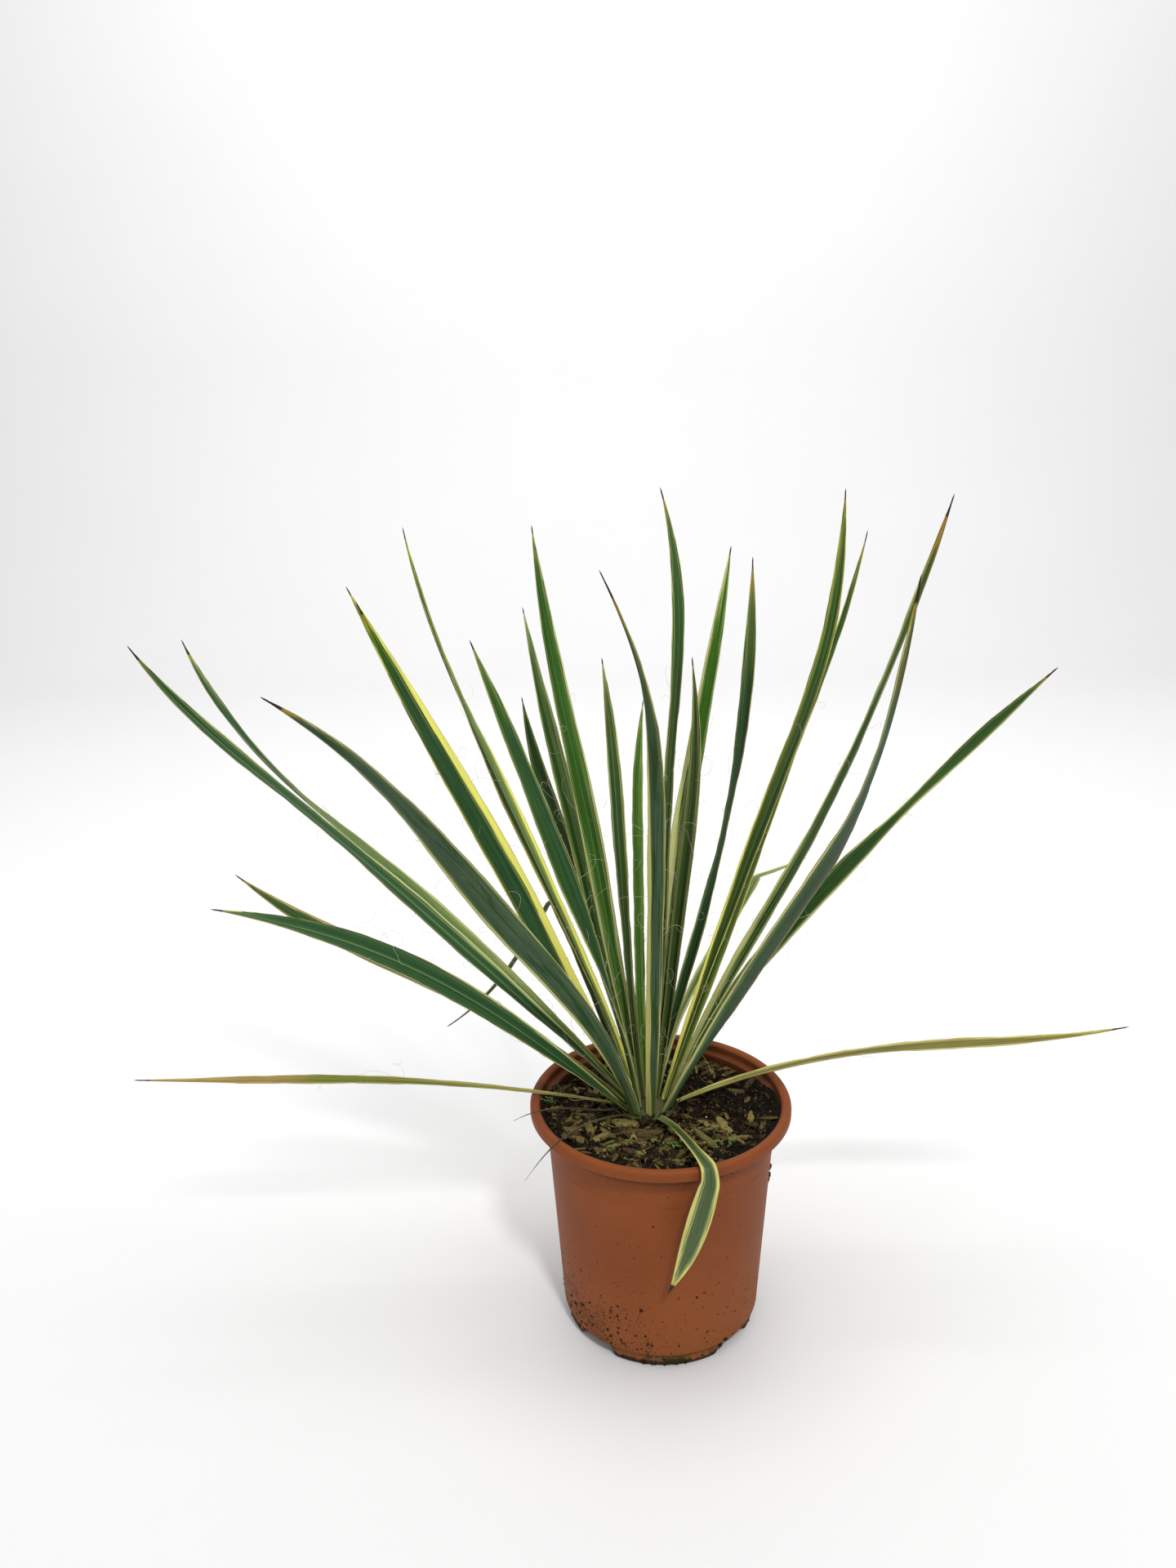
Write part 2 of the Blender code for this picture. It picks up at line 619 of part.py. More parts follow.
def soil_height(x, y):
    """Height of the soil's top under a point, found along the line out from the crown."""
    angle = math.atan2(y - CROWN_Y, x - CROWN_X)
    heap = float(heap_share(np.array(angle)))
    distance = math.hypot(x - CROWN_X, y - CROWN_Y) - CROWN_HOLE_RADIUS
    edge = float(soil_rim(np.array(heap))[2][0]) - math.hypot(CROWN_X, CROWN_Y) * math.cos(
        angle - math.atan2(CROWN_Y, CROWN_X)
    )
    inward = np.array(min(max(distance / (edge - CROWN_HOLE_RADIUS), 0.0), 1.0))
    return float(soil_top(np.array(x), np.array(y), np.array(heap), inward))


def main():
    clear_scene()
    make_pot()
    make_soil()
    make_crown()
    green = make_material("leaf_green", LEAF_GREEN, 0.45)
    yellow = make_material("old_leaf_yellow", OLD_LEAF_YELLOW, 0.6)
    grey = make_material("withered_grey", WITHERED_GREY, 0.8)
    for leaf in LEAVES:
        material = yellow if leaf.name in OLD_LEAVES else green
        if leaf.name.startswith("withered"):
            material = grey
        make_leaf(leaf, material)


main()
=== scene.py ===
"""Finished look of the potted yucca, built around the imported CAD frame.

Lengths in the tables are millimetres and turn into metres when a mesh is made. The
blades repeat the frame's own centre lines and sections with far more stations, so each
fine piece stands where its CAD solid stands.
"""

from __future__ import annotations

import logging
import math
from collections.abc import Sequence
from dataclasses import dataclass, field
from enum import Enum

import bpy
import numpy as np
from mathutils import Matrix, Vector


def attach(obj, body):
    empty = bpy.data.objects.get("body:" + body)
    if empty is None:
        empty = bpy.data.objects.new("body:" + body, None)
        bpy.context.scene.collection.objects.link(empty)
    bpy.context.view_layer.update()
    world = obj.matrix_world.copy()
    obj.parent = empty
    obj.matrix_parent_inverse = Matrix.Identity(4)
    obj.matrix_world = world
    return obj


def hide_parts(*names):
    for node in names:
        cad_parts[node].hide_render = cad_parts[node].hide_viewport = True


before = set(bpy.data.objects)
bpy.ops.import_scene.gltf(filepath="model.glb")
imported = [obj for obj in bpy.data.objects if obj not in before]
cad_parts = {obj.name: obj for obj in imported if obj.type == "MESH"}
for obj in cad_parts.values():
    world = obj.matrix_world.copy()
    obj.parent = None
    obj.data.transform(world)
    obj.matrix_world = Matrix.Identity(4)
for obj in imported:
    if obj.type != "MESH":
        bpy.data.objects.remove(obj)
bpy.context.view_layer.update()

Colour = tuple[float, float, float]
Span = tuple[float, float]  # Lowest and highest value of a seeded draw.
LOG = logging.getLogger("potted_yucca")
MM = 0.001
BODY = "root"

# Pot and potting mix, as in the frame.
POT_HEIGHT = 176.0
RIM_RADIUS = 95.0
RIM_INNER = 87.7
LIP_HEIGHT = 7.8
LEDGE_HEIGHT = 169.6
WALL_TOP_RADIUS = 83.6
WALL_FOOT_RADIUS = 73.5
WALL = 1.6
FLOOR_HEIGHT = 10.0
FLOOR_TOP = 12.0
FOOT_RADIUS = 70.6
FOOT_INNER = 56.6
NOTCH = 24.0
SOIL_LEVEL = 163.0
SOIL_HEAP = 7.0
HEAP_FROM = 60.0  # Degrees from the back where the heap begins, and those it rises over.
HEAP_RISE = 24.0
SOIL_WAVES = 0.7
GAP = 0.3

# Crown and the rings of leaf bases on it, as in the frame.
CROWN_X = -9.0
CROWN_Y = 7.0
CROWN_DEPTH = 46.0
CROWN_HOLE = 20.0
CROWN_NECK = (0.5, 8.0)  # How much narrower the hole is at a depth, before it tapers.
CROWN_TIP_SHARE = 0.45  # Share of the hole's radius left at its bottom.
CROWN_DOME = ((0.0, 8.6), (3.6, 8.2), (8.0, 6.6), (12.5, 4.2), (17.0, 1.2), (19.6, -1.2))
FOOT_CLEARANCE = 0.9
RINGS = {
    "outer": (22.0, 7.5),
    "low": (17.0, 8.0),
    "middle": (12.5, 6.0),
    "high": (8.0, 6.0),
    "heart": (3.6, 5.6),
}

# Blade section, as in the frame.
WIDEST_AT = 0.5
GROWTH_POWER = 0.8
TAPER_FROM = 0.57
TAPER_POWER = 2.2
SPINE_WIDTH = 1.2
NARROWEST_FOOT = 4.0
FOOT_SHARES = (0.0, 0.04, 0.09)
FOOT_THICKNESS = ((0.0, 0.2), (2.4, 1.5))  # Shares of the length, and thickness there.
FRAME_EDGE = 0.4
CHANNEL_ANGLES = (34, 18, 12, 14, 30)
FOLD_LENGTH = 9.0
LINE_STEPS = 240
FOOT_STEPS = 60

# Fine mesh of a blade: rings along it, points across each face, and how it is thinned.
BLADE_STATIONS = 124
FOLD_STATIONS = 19
TIP_STATIONS = (0.975, 1.0, 9)
BLADE_COLUMNS = 19
FINE_KEEL = ((0.0, 0.2, 0.8, 1.0), (2.0, 1.15, 0.9, 0.6))  # Shares of the length, thickness.
EDGE_THICKNESS = 0.42
KEEL_ROUNDING = 0.22
PLEAT_DEPTH = 0.07
PLEAT_PITCH = 2.3
EDGE_WOBBLE = 0.22
WIDTH_WOBBLE = 0.012
POINT_LENGTH = 26.0
NEEDLE_LENGTH = 2.5


class Slot(Enum):
    """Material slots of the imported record."""

    POT = "pot_plastic"
    MIX = "potting_mix"
    BARK = "crown_bark"
    LEAF = "leaf"
    OLD = "old_leaf"
    WITHERED = "withered_leaf"


class Tone(Enum):
    """Greens and browns of a blade's face, as linear red, green and blue.

    HAY, STRAW, TAWNY and DRY are those of old and withered leaves. SHADE is painted shade,
    the dark green given to blades and half blades that lie in shadow.
    """

    DEEP = (0.026, 0.080, 0.026)
    GREEN = (0.031, 0.093, 0.021)
    BRIGHT = (0.032, 0.104, 0.011)
    VIVID = (0.040, 0.138, 0.008)
    DARK = (0.017, 0.055, 0.009)
    SHADE = (0.018, 0.036, 0.009)
    GREY = (0.047, 0.098, 0.047)
    SAGE = (0.120, 0.195, 0.058)
    MOSS = (0.100, 0.150, 0.062)
    OLIVE = (0.048, 0.088, 0.018)
    BRONZE = (0.105, 0.088, 0.024)
    HAY = (0.172, 0.145, 0.033)
    FERN = (0.026, 0.070, 0.012)
    STRAW = (0.140, 0.180, 0.018)
    TAWNY = (0.310, 0.210, 0.055)
    SLATE = (0.038, 0.060, 0.030)
    DRY = (0.110, 0.088, 0.055)


class Edge(Enum):
    """Colour of the variegated margins, as linear red, green and blue."""

    YELLOW = (0.930, 0.890, 0.185)
    BUTTER = (0.680, 0.640, 0.200)
    CREAM = (0.560, 0.580, 0.220)
    PALE = (0.330, 0.400, 0.150)
    TAN = (0.480, 0.380, 0.140)
    NONE = (0.100, 0.090, 0.060)


# Slots of the blades that aren't living leaves.
OLD_SLOTS = {Tone.DRY: Slot.WITHERED, Tone.STRAW: Slot.OLD, Tone.HAY: Slot.OLD}


@dataclass(frozen=True)
class Dress:
    """What a blade wears.

    tone is the green of its plus half and other that of its minus half, where it differs;
    the two are partly the blade's own colours and partly painted shade on the half of the
    channel in shadow. Past the share far_from both give way to far. plus and minus are margin
    widths in mm, evenly spaced from foot to tip, on the blade's left and right as it grows.
    spine and scorch are the lengths in mm of the brown tip and of the orange zone behind it.
    midline is the strength of a pale central line, a painted highlight along the fold,
    stripes that of the lines inside the margins, channel the angles of the folded section
    from foot to tip, and slim the shares of the frame's width that a curled blade keeps.
    """

    tone: Tone
    edge: Edge
    plus: tuple[float, ...] = (0.6, 0.6)
    minus: tuple[float, ...] = (0.6, 0.6)
    spine: float = 7.0
    scorch: float = 0.0
    midline: float = 0.0
    stripes: float = 0.5
    hairs: int = 14
    other: Tone | None = None
    far: Tone | None = None
    far_from: float = 0.75
    channel: tuple[float, ...] = CHANNEL_ANGLES
    slim: tuple[float, ...] = (1.0, 1.0)


@dataclass(frozen=True)
class Leaf:
    """One blade's course, the same values as in the frame. Angles are in degrees."""

    name: str
    ring: str
    seat: float
    rise: tuple[float, ...]
    heading: tuple[float, ...]
    length: float
    width: float
    roll: tuple[float, ...] = (0, 0)
    folds: tuple[tuple[float, float, float, float], ...] = ()
    dress: Dress = field(default_factory=lambda: Dress(Tone.GREEN, Edge.CREAM))


LEAVES = (
    Leaf(
        "leaf_01", "middle", 198, (55, 42, 38, 60), (206, 168, 166, 214), 490, 20,
        (0, -15, 12, -70),
        dress=Dress(
            Tone.DEEP, Edge.CREAM, (0.3, 0.3), (1.4, 1.6, 1.0, 0.5), spine=12, scorch=7,
            midline=0.6,
        ),
    ),
    Leaf(
        "leaf_02", "middle", 164, (51, 41, 38, 55), (183, 162, 162, 140), 485, 20,
        (0, -20, 5, 30, -10),
        dress=Dress(
            Tone.SAGE, Edge.CREAM, (2.0, 1.8, 1.2, 0.3, 0.2), (1.2, 1.8, 1.4, 0.5, 0.3), spine=13,
            scorch=7, stripes=0.8, hairs=16, far=Tone.DEEP, far_from=0.70,
        ),
    ),
    Leaf(
        "leaf_03", "low", 240, (71, 53, 52, 34), (219, 222, 228, 236), 455, 20,
        (20, 77, 54, 12, 23),
        dress=Dress(
            Tone.GREY, Edge.CREAM, (0.5, 0.8, 0.8, 0.5), (1.4, 1.8, 1.8, 1.2), spine=14,
            scorch=14, stripes=0.4,
        ),
    ),
    Leaf(
        "leaf_04", "high", 159, (59, 63, 60, 62), (168, 164, 165, 164), 425, 18,
        (0, -30, -25, -55),
        dress=Dress(
            Tone.DEEP, Edge.YELLOW, (0.8, 0.6, 0.4), (1.8, 1.6, 1.0), scorch=10, stripes=0.4,
            hairs=12, far=Tone.BRIGHT, far_from=0.86,
        ),
    ),
    Leaf(
        "leaf_05", "high", 200, (62, 66, 64, 66), (199, 193, 193, 192), 415, 20,
        (-20, -85, -65, -56, -86),
        dress=Dress(
            Tone.DEEP, Edge.YELLOW, (0.6, 0.5, 0.4, 0.3), (2.0, 4.2, 5.0, 3.6, 0.4), spine=9,
            scorch=14, stripes=0.3, far=Tone.BRIGHT, far_from=0.88,
        ),
    ),
    Leaf(
        "leaf_06", "middle", 132, (74, 55, 55, 79), (162, 136, 134, 152), 470, 17,
        (0, 11, 12, 40, 0),
        dress=Dress(
            Tone.SHADE, Edge.YELLOW, (0.5, 0.3, 0.2), (3.4, 3.8, 2.2, 0.6, 0.4), spine=9,
            scorch=3, midline=0.7, stripes=0.8, other=Tone.SAGE, far=Tone.DEEP, far_from=0.68,
        ),
    ),
    Leaf(
        "leaf_07", "middle", 238, (80, 72, 71, 70), (219, 204, 194, 191), 370, 18,
        (0, -24, -55, -47, -72),
        dress=Dress(
            Tone.GREEN, Edge.CREAM, (1.6, 1.4, 0.7, 0.4), (0.8, 0.6, 0.4), spine=6, scorch=3,
            other=Tone.DEEP, far=Tone.BRIGHT, far_from=0.84,
        ),
    ),
    Leaf(
        "leaf_08", "low", 105, (62, 56, 55, 62), (116, 122, 122, 112), 325, 16, (-5, -28),
        dress=Dress(
            Tone.GREEN, Edge.CREAM, (0.8, 0.5, 0.2), (1.6, 1.2, 0.2), spine=4, stripes=0.7,
            hairs=10, other=Tone.SHADE, far=Tone.DARK, far_from=0.8,
        ),
    ),
    Leaf(
        "leaf_09", "middle", 104, (69, 71, 67, 66), (148, 128, 126, 115), 375, 17, (0, 0, 10, 25),
        dress=Dress(
            Tone.BRIGHT, Edge.CREAM, (1.0, 1.2, 0.7, 0.3), (1.0, 1.8, 1.4, 0.6), spine=5,
            scorch=4, midline=0.3, stripes=1.0, other=Tone.SAGE,
        ),
    ),
    Leaf(
        "leaf_10", "high", 108, (74, 77, 71, 76), (144, 134, 128, 116), 425, 17, (0, -30, 5, -2),
        dress=Dress(
            Tone.BRIGHT, Edge.CREAM, (1.4, 1.6, 0.7, 0.4), (2.0, 2.4, 1.4, 0.6), spine=6,
            scorch=9, midline=0.2, stripes=0.6, hairs=16,
        ),
    ),
    Leaf(
        "leaf_11", "low", 207, (48, 44, 35, 18), (206, 202, 209, 200), 350, 19,
        (-15, -44, -41, -20),
        dress=Dress(
            Tone.DEEP, Edge.CREAM, (0.7, 0.6, 0.5, 0.4), (1.6, 1.2, 0.4, 0.3), midline=0.6,
            stripes=0.2, hairs=12,
        ),
    ),
    Leaf(
        "leaf_12", "low", 172, (38, 30, 25, 37), (167, 170, 173, 170), 335, 15,
        (0, -20, -55, -40),
        dress=Dress(
            Tone.GREEN, Edge.TAN, (0.8, 0.8, 0.7), (1.8, 2.0, 2.8, 1.0), spine=8, scorch=6,
            midline=0.2, hairs=8,
        ),
    ),
    Leaf(
        "leaf_13", "outer", 182, (13, 8, 3, 2), (182, 183, 184, 180), 350, 11, (0, 0, -6, 9),
        dress=Dress(
            Tone.STRAW, Edge.TAN, (1.4, 1.2, 1.0, 0.8), (1.0, 1.2, 1.0, 0.6), spine=12, scorch=14,
            midline=0.3, stripes=1.0, hairs=5, far=Tone.TAWNY, far_from=0.66,
            slim=(0.50, 0.62, 0.78, 0.92, 1.0, 1.0),
        ),
    ),
    Leaf(
        "leaf_14", "heart", 60, (81, 87, 80, 72), (33, 47, 61, 147), 440, 14, (0, -10, -35, -40),
        dress=Dress(
            Tone.OLIVE, Edge.CREAM, (0.6, 0.9, 0.5), (1.0, 0.4, 0.4, 0.5), spine=8, scorch=18,
            midline=0.4, stripes=0.7, hairs=12, other=Tone.DARK, far=Tone.GREEN, far_from=0.72,
        ),
    ),
    Leaf(
        "leaf_15", "low", 276, (84, 83, 78, 64), (275, 276, 256, 176), 410, 16, (0, -47, -36, -5),
        dress=Dress(
            Tone.GREY, Edge.BUTTER, (0.4, 0.4, 0.4), (4.4, 5.4, 4.0, 1.8, 0.5), spine=18,
            scorch=26, stripes=0.4, far=Tone.OLIVE, far_from=0.86,
        ),
    ),
    Leaf(
        "leaf_16", "heart", 200, (77, 80, 74, 67), (126, 110, 101, 108), 325, 14, (0, 39, 30, 0),
        dress=Dress(
            Tone.DEEP, Edge.CREAM, (0.7, 0.5, 0.4), (1.2, 0.8, 0.5), spine=5, scorch=4,
            midline=0.5, stripes=0.9, hairs=12, other=Tone.OLIVE, far=Tone.OLIVE, far_from=0.78,
        ),
    ),
    Leaf(
        "leaf_17", "low", 84, (65, 75, 66, 59), (107, 90, 88, 73), 300, 12, (0, 40, 45, 20),
        dress=Dress(
            Tone.VIVID, Edge.CREAM, (0.3, 0.3), (0.8, 0.9, 0.5), spine=5, midline=0.3,
            stripes=0.8, hairs=12,
        ),
    ),
    Leaf(
        "leaf_18", "high", 66, (79, 79, 73, 75), (43, 52, 48, 53), 405, 17, (0, 25, -8, 12),
        dress=Dress(
            Tone.OLIVE, Edge.CREAM, (3.0, 4.6, 4.8, 2.4, 0.6), (0.6, 0.7, 0.6), spine=6, scorch=4,
            stripes=1.0, hairs=16, other=Tone.DEEP, far=Tone.VIVID, far_from=0.62,
        ),
    ),
    Leaf(
        "leaf_19", "high", 17, (80, 81, 78, 79), (38, 44, 59, 116), 325, 11, (0, 10, 20, -10),
        dress=Dress(
            Tone.OLIVE, Edge.CREAM, (0.5, 0.4), (0.5, 0.4), spine=6, scorch=8, stripes=0.6,
            other=Tone.SHADE,
        ),
    ),
    Leaf(
        "leaf_20", "middle", 60, (76, 67, 73, 82), (24, 42, 58, 88), 405, 15, (0, 0, -42, -25, 5),
        dress=Dress(
            Tone.DEEP, Edge.CREAM, (0.8, 0.6, 0.5), (0.8, 0.7, 0.4), spine=9, scorch=32, hairs=12,
            other=Tone.SHADE, far=Tone.OLIVE, far_from=0.8,
        ),
    ),
    Leaf(
        "leaf_21", "middle", 0, (74, 63, 60, 82), (14, 37, 44, 77), 475, 17, (0, -10, -19, -14),
        dress=Dress(
            Tone.OLIVE, Edge.YELLOW, (2.4, 3.0, 0.9, 0.2, 0.2), (1.2, 0.7, 0.2, 0.2), spine=8,
            scorch=12, midline=0.3, other=Tone.DARK, far=Tone.FERN, far_from=0.66,
        ),
    ),
    Leaf(
        "leaf_22", "low", 36, (60, 57, 54, 74), (38, 47, 47, 37), 470, 15, (0, -12, -37, -5),
        dress=Dress(
            Tone.DARK, Edge.YELLOW, (1.4, 1.0, 0.4, 0.3), (0.9, 0.5, 0.3), spine=9, scorch=12,
            midline=0.3, stripes=0.4, hairs=12, other=Tone.OLIVE, far=Tone.FERN, far_from=0.7,
        ),
    ),
    Leaf(
        "leaf_23", "low", 10, (69, 61, 68, 75), (10, 4, 8, 0), 475, 17, (0, 20, 0, -8, 40),
        dress=Dress(
            Tone.DARK, Edge.CREAM, (3.4, 3.2, 1.4, 0.5), (0.8, 0.6, 0.5), spine=15, scorch=52,
            midline=0.4, stripes=0.9, hairs=12, far=Tone.OLIVE, far_from=0.7,
        ),
    ),
    Leaf(
        "leaf_24", "low", 310, (63, 61, 57, 77), (327, 329, 284, 278), 460, 18,
        (0, -40, -10, 50, 30),
        dress=Dress(
            Tone.SLATE, Edge.CREAM, (0.4, 0.4, 0.4), (1.6, 1.5, 1.0, 0.6), spine=15, scorch=12,
            stripes=0.4, hairs=12, other=Tone.GREY, far=Tone.BRONZE, far_from=0.84,
        ),
    ),
    Leaf(
        "leaf_25", "low", 340, (71, 56, 48, 46), (345, 342, 356, 353), 415, 19, (0, 38, 14, 24),
        dress=Dress(
            Tone.DARK, Edge.CREAM, (1.2, 0.9, 0.6), (0.8, 0.9, 1.4, 1.2, 0.4), spine=9, scorch=6,
            hairs=12, far=Tone.FERN, far_from=0.68,
            slim=(1.0, 1.0, 1.0, 1.0, 1.0, 0.98, 0.84, 0.52, 0.90, 1.25, 1.1),
        ),
    ),
    Leaf(
        "leaf_26", "outer", 0, (20, 7, 6, 16), (8, 6, -7, -9), 335, 14, (0, -17, -5, -8),
        dress=Dress(
            Tone.HAY, Edge.BUTTER, (1.4, 1.6, 1.4, 0.8), (1.8, 2.4, 2.0, 1.0), spine=11,
            scorch=16, midline=0.5, stripes=1.0, hairs=6,
            slim=(0.6, 1.05, 1.3, 1.35, 1.35, 1.2, 1.0),
        ),
    ),
    Leaf(
        "leaf_27", "low", 60, (70, 33, 25, 38), (56, 56, 56, 56), 255, 12, (0, -30, -28, 0),
        folds=((0.82, 20, -39, 0),),
        dress=Dress(
            Tone.SAGE, Edge.CREAM, (1.6, 2.0, 1.2), (3.0, 2.4, 1.0), scorch=3, midline=0.3,
            stripes=1.0, hairs=5, other=Tone.OLIVE, slim=(1.0, 1.0, 1.2, 1.3, 1.3, 1.3),
        ),
    ),
    Leaf(
        "leaf_28", "low", 129, (57, 60, 55, 82), (129, 135, 140, 134), 285, 9, (0, 0),
        folds=((0.55, 112, 56, 0),),
        dress=Dress(
            Tone.SHADE, Edge.PALE, (0.5, 0.5, 0.3), (0.6, 0.6, 0.3), spine=9, stripes=0.3,
            hairs=5, far=Tone.SLATE, far_from=0.53,
        ),
    ),
    Leaf(
        "leaf_29", "outer", 288, (16, 8, 2, 4, 14), (296, 287, 288, 288, 288), 188, 17,
        (0, 25, 5, 0, 0),
        folds=((0.46, 82, 0, 0), (0.515, -4, -112, -90)),
        dress=Dress(
            Tone.MOSS, Edge.BUTTER, (0.8, 0.9, 1.2, 1.7, 1.9, 1.6),
            (1.2, 2.2, 2.6, 2.6, 2.0, 1.6), spine=9, scorch=5, stripes=1.0, hairs=0,
            channel=(40, 62, 60, 50, 22, 14, 14, 16, 24),
            slim=(0.95, 0.92, 0.84, 0.70, 0.80, 0.98, 1.06, 1.04, 1.0),
        ),
    ),
    Leaf(
        "withered_leaf_1", "outer", 198, (4, 20, 7, -20), (203, 204, 203, 200), 85, 4, (0, 0),
        dress=Dress(
            Tone.DRY, Edge.NONE, (0, 0), (0, 0), spine=10, stripes=0.2, hairs=0,
            channel=(60, 72, 74), slim=(0.50, 0.42, 0.36, 0.34),
        ),
    ),
    Leaf(
        "withered_leaf_2", "outer", 224, (22, 12, -8, -32), (227, 226, 230, 230), 110, 4, (0, 0),
        dress=Dress(
            Tone.DRY, Edge.NONE, (0, 0), (0, 0), spine=14, stripes=0.2, hairs=0,
            channel=(60, 72, 74), slim=(0.50, 0.42, 0.36, 0.34),
        ),
    ),
)


# Shader tree in ordinary arithmetic.


@dataclass(frozen=True)
class Value:
    """A socket's number. Each operator adds one Math node, so masks read as formulas."""

    graph: "Graph"
    socket: bpy.types.NodeSocket

    def __add__(self, other: "Value | float") -> "Value":
        """Sum of this and other."""
        return self.graph.maths("ADD", self, other)

    def __radd__(self, other: float) -> "Value":
        """Sum of other and this."""
        return self.graph.maths("ADD", other, self)

    def __sub__(self, other: "Value | float") -> "Value":
        """This less other."""
        return self.graph.maths("SUBTRACT", self, other)

    def __rsub__(self, other: float) -> "Value":
        """Other less this."""
        return self.graph.maths("SUBTRACT", other, self)

    def __mul__(self, other: "Value | float") -> "Value":
        """This times other."""
        return self.graph.maths("MULTIPLY", self, other)

    def __rmul__(self, other: float) -> "Value":
        """Other times this."""
        return self.graph.maths("MULTIPLY", other, self)

    def __abs__(self) -> "Value":
        """Size of this without its sign."""
        return self.graph.maths("ABSOLUTE", self)

    def clipped(self) -> "Value":
        """This held between 0 and 1."""
        return self.graph.maths("MINIMUM", self.graph.maths("MAXIMUM", self, 0.0), 1.0)

    def step(self, low: float, high: float) -> "Value":
        """Smooth step from 0 at low to 1 at high; with low above high it falls.

        Args:
            low: Reading that gives 0.
            high: Reading that gives 1.

        Returns:
            The stepped value.
        """
        rising = low < high
        made = self.graph.node(
            "ShaderNodeMapRange",
            {"interpolation_type": "SMOOTHSTEP"},
            {
                "Value": self,
                "From Min": min(low, high),
                "From Max": max(low, high),
                "To Min": 0.0 if rising else 1.0,
                "To Max": 1.0 if rising else 0.0,
            },
        )
        return Value(self.graph, made.outputs[0])


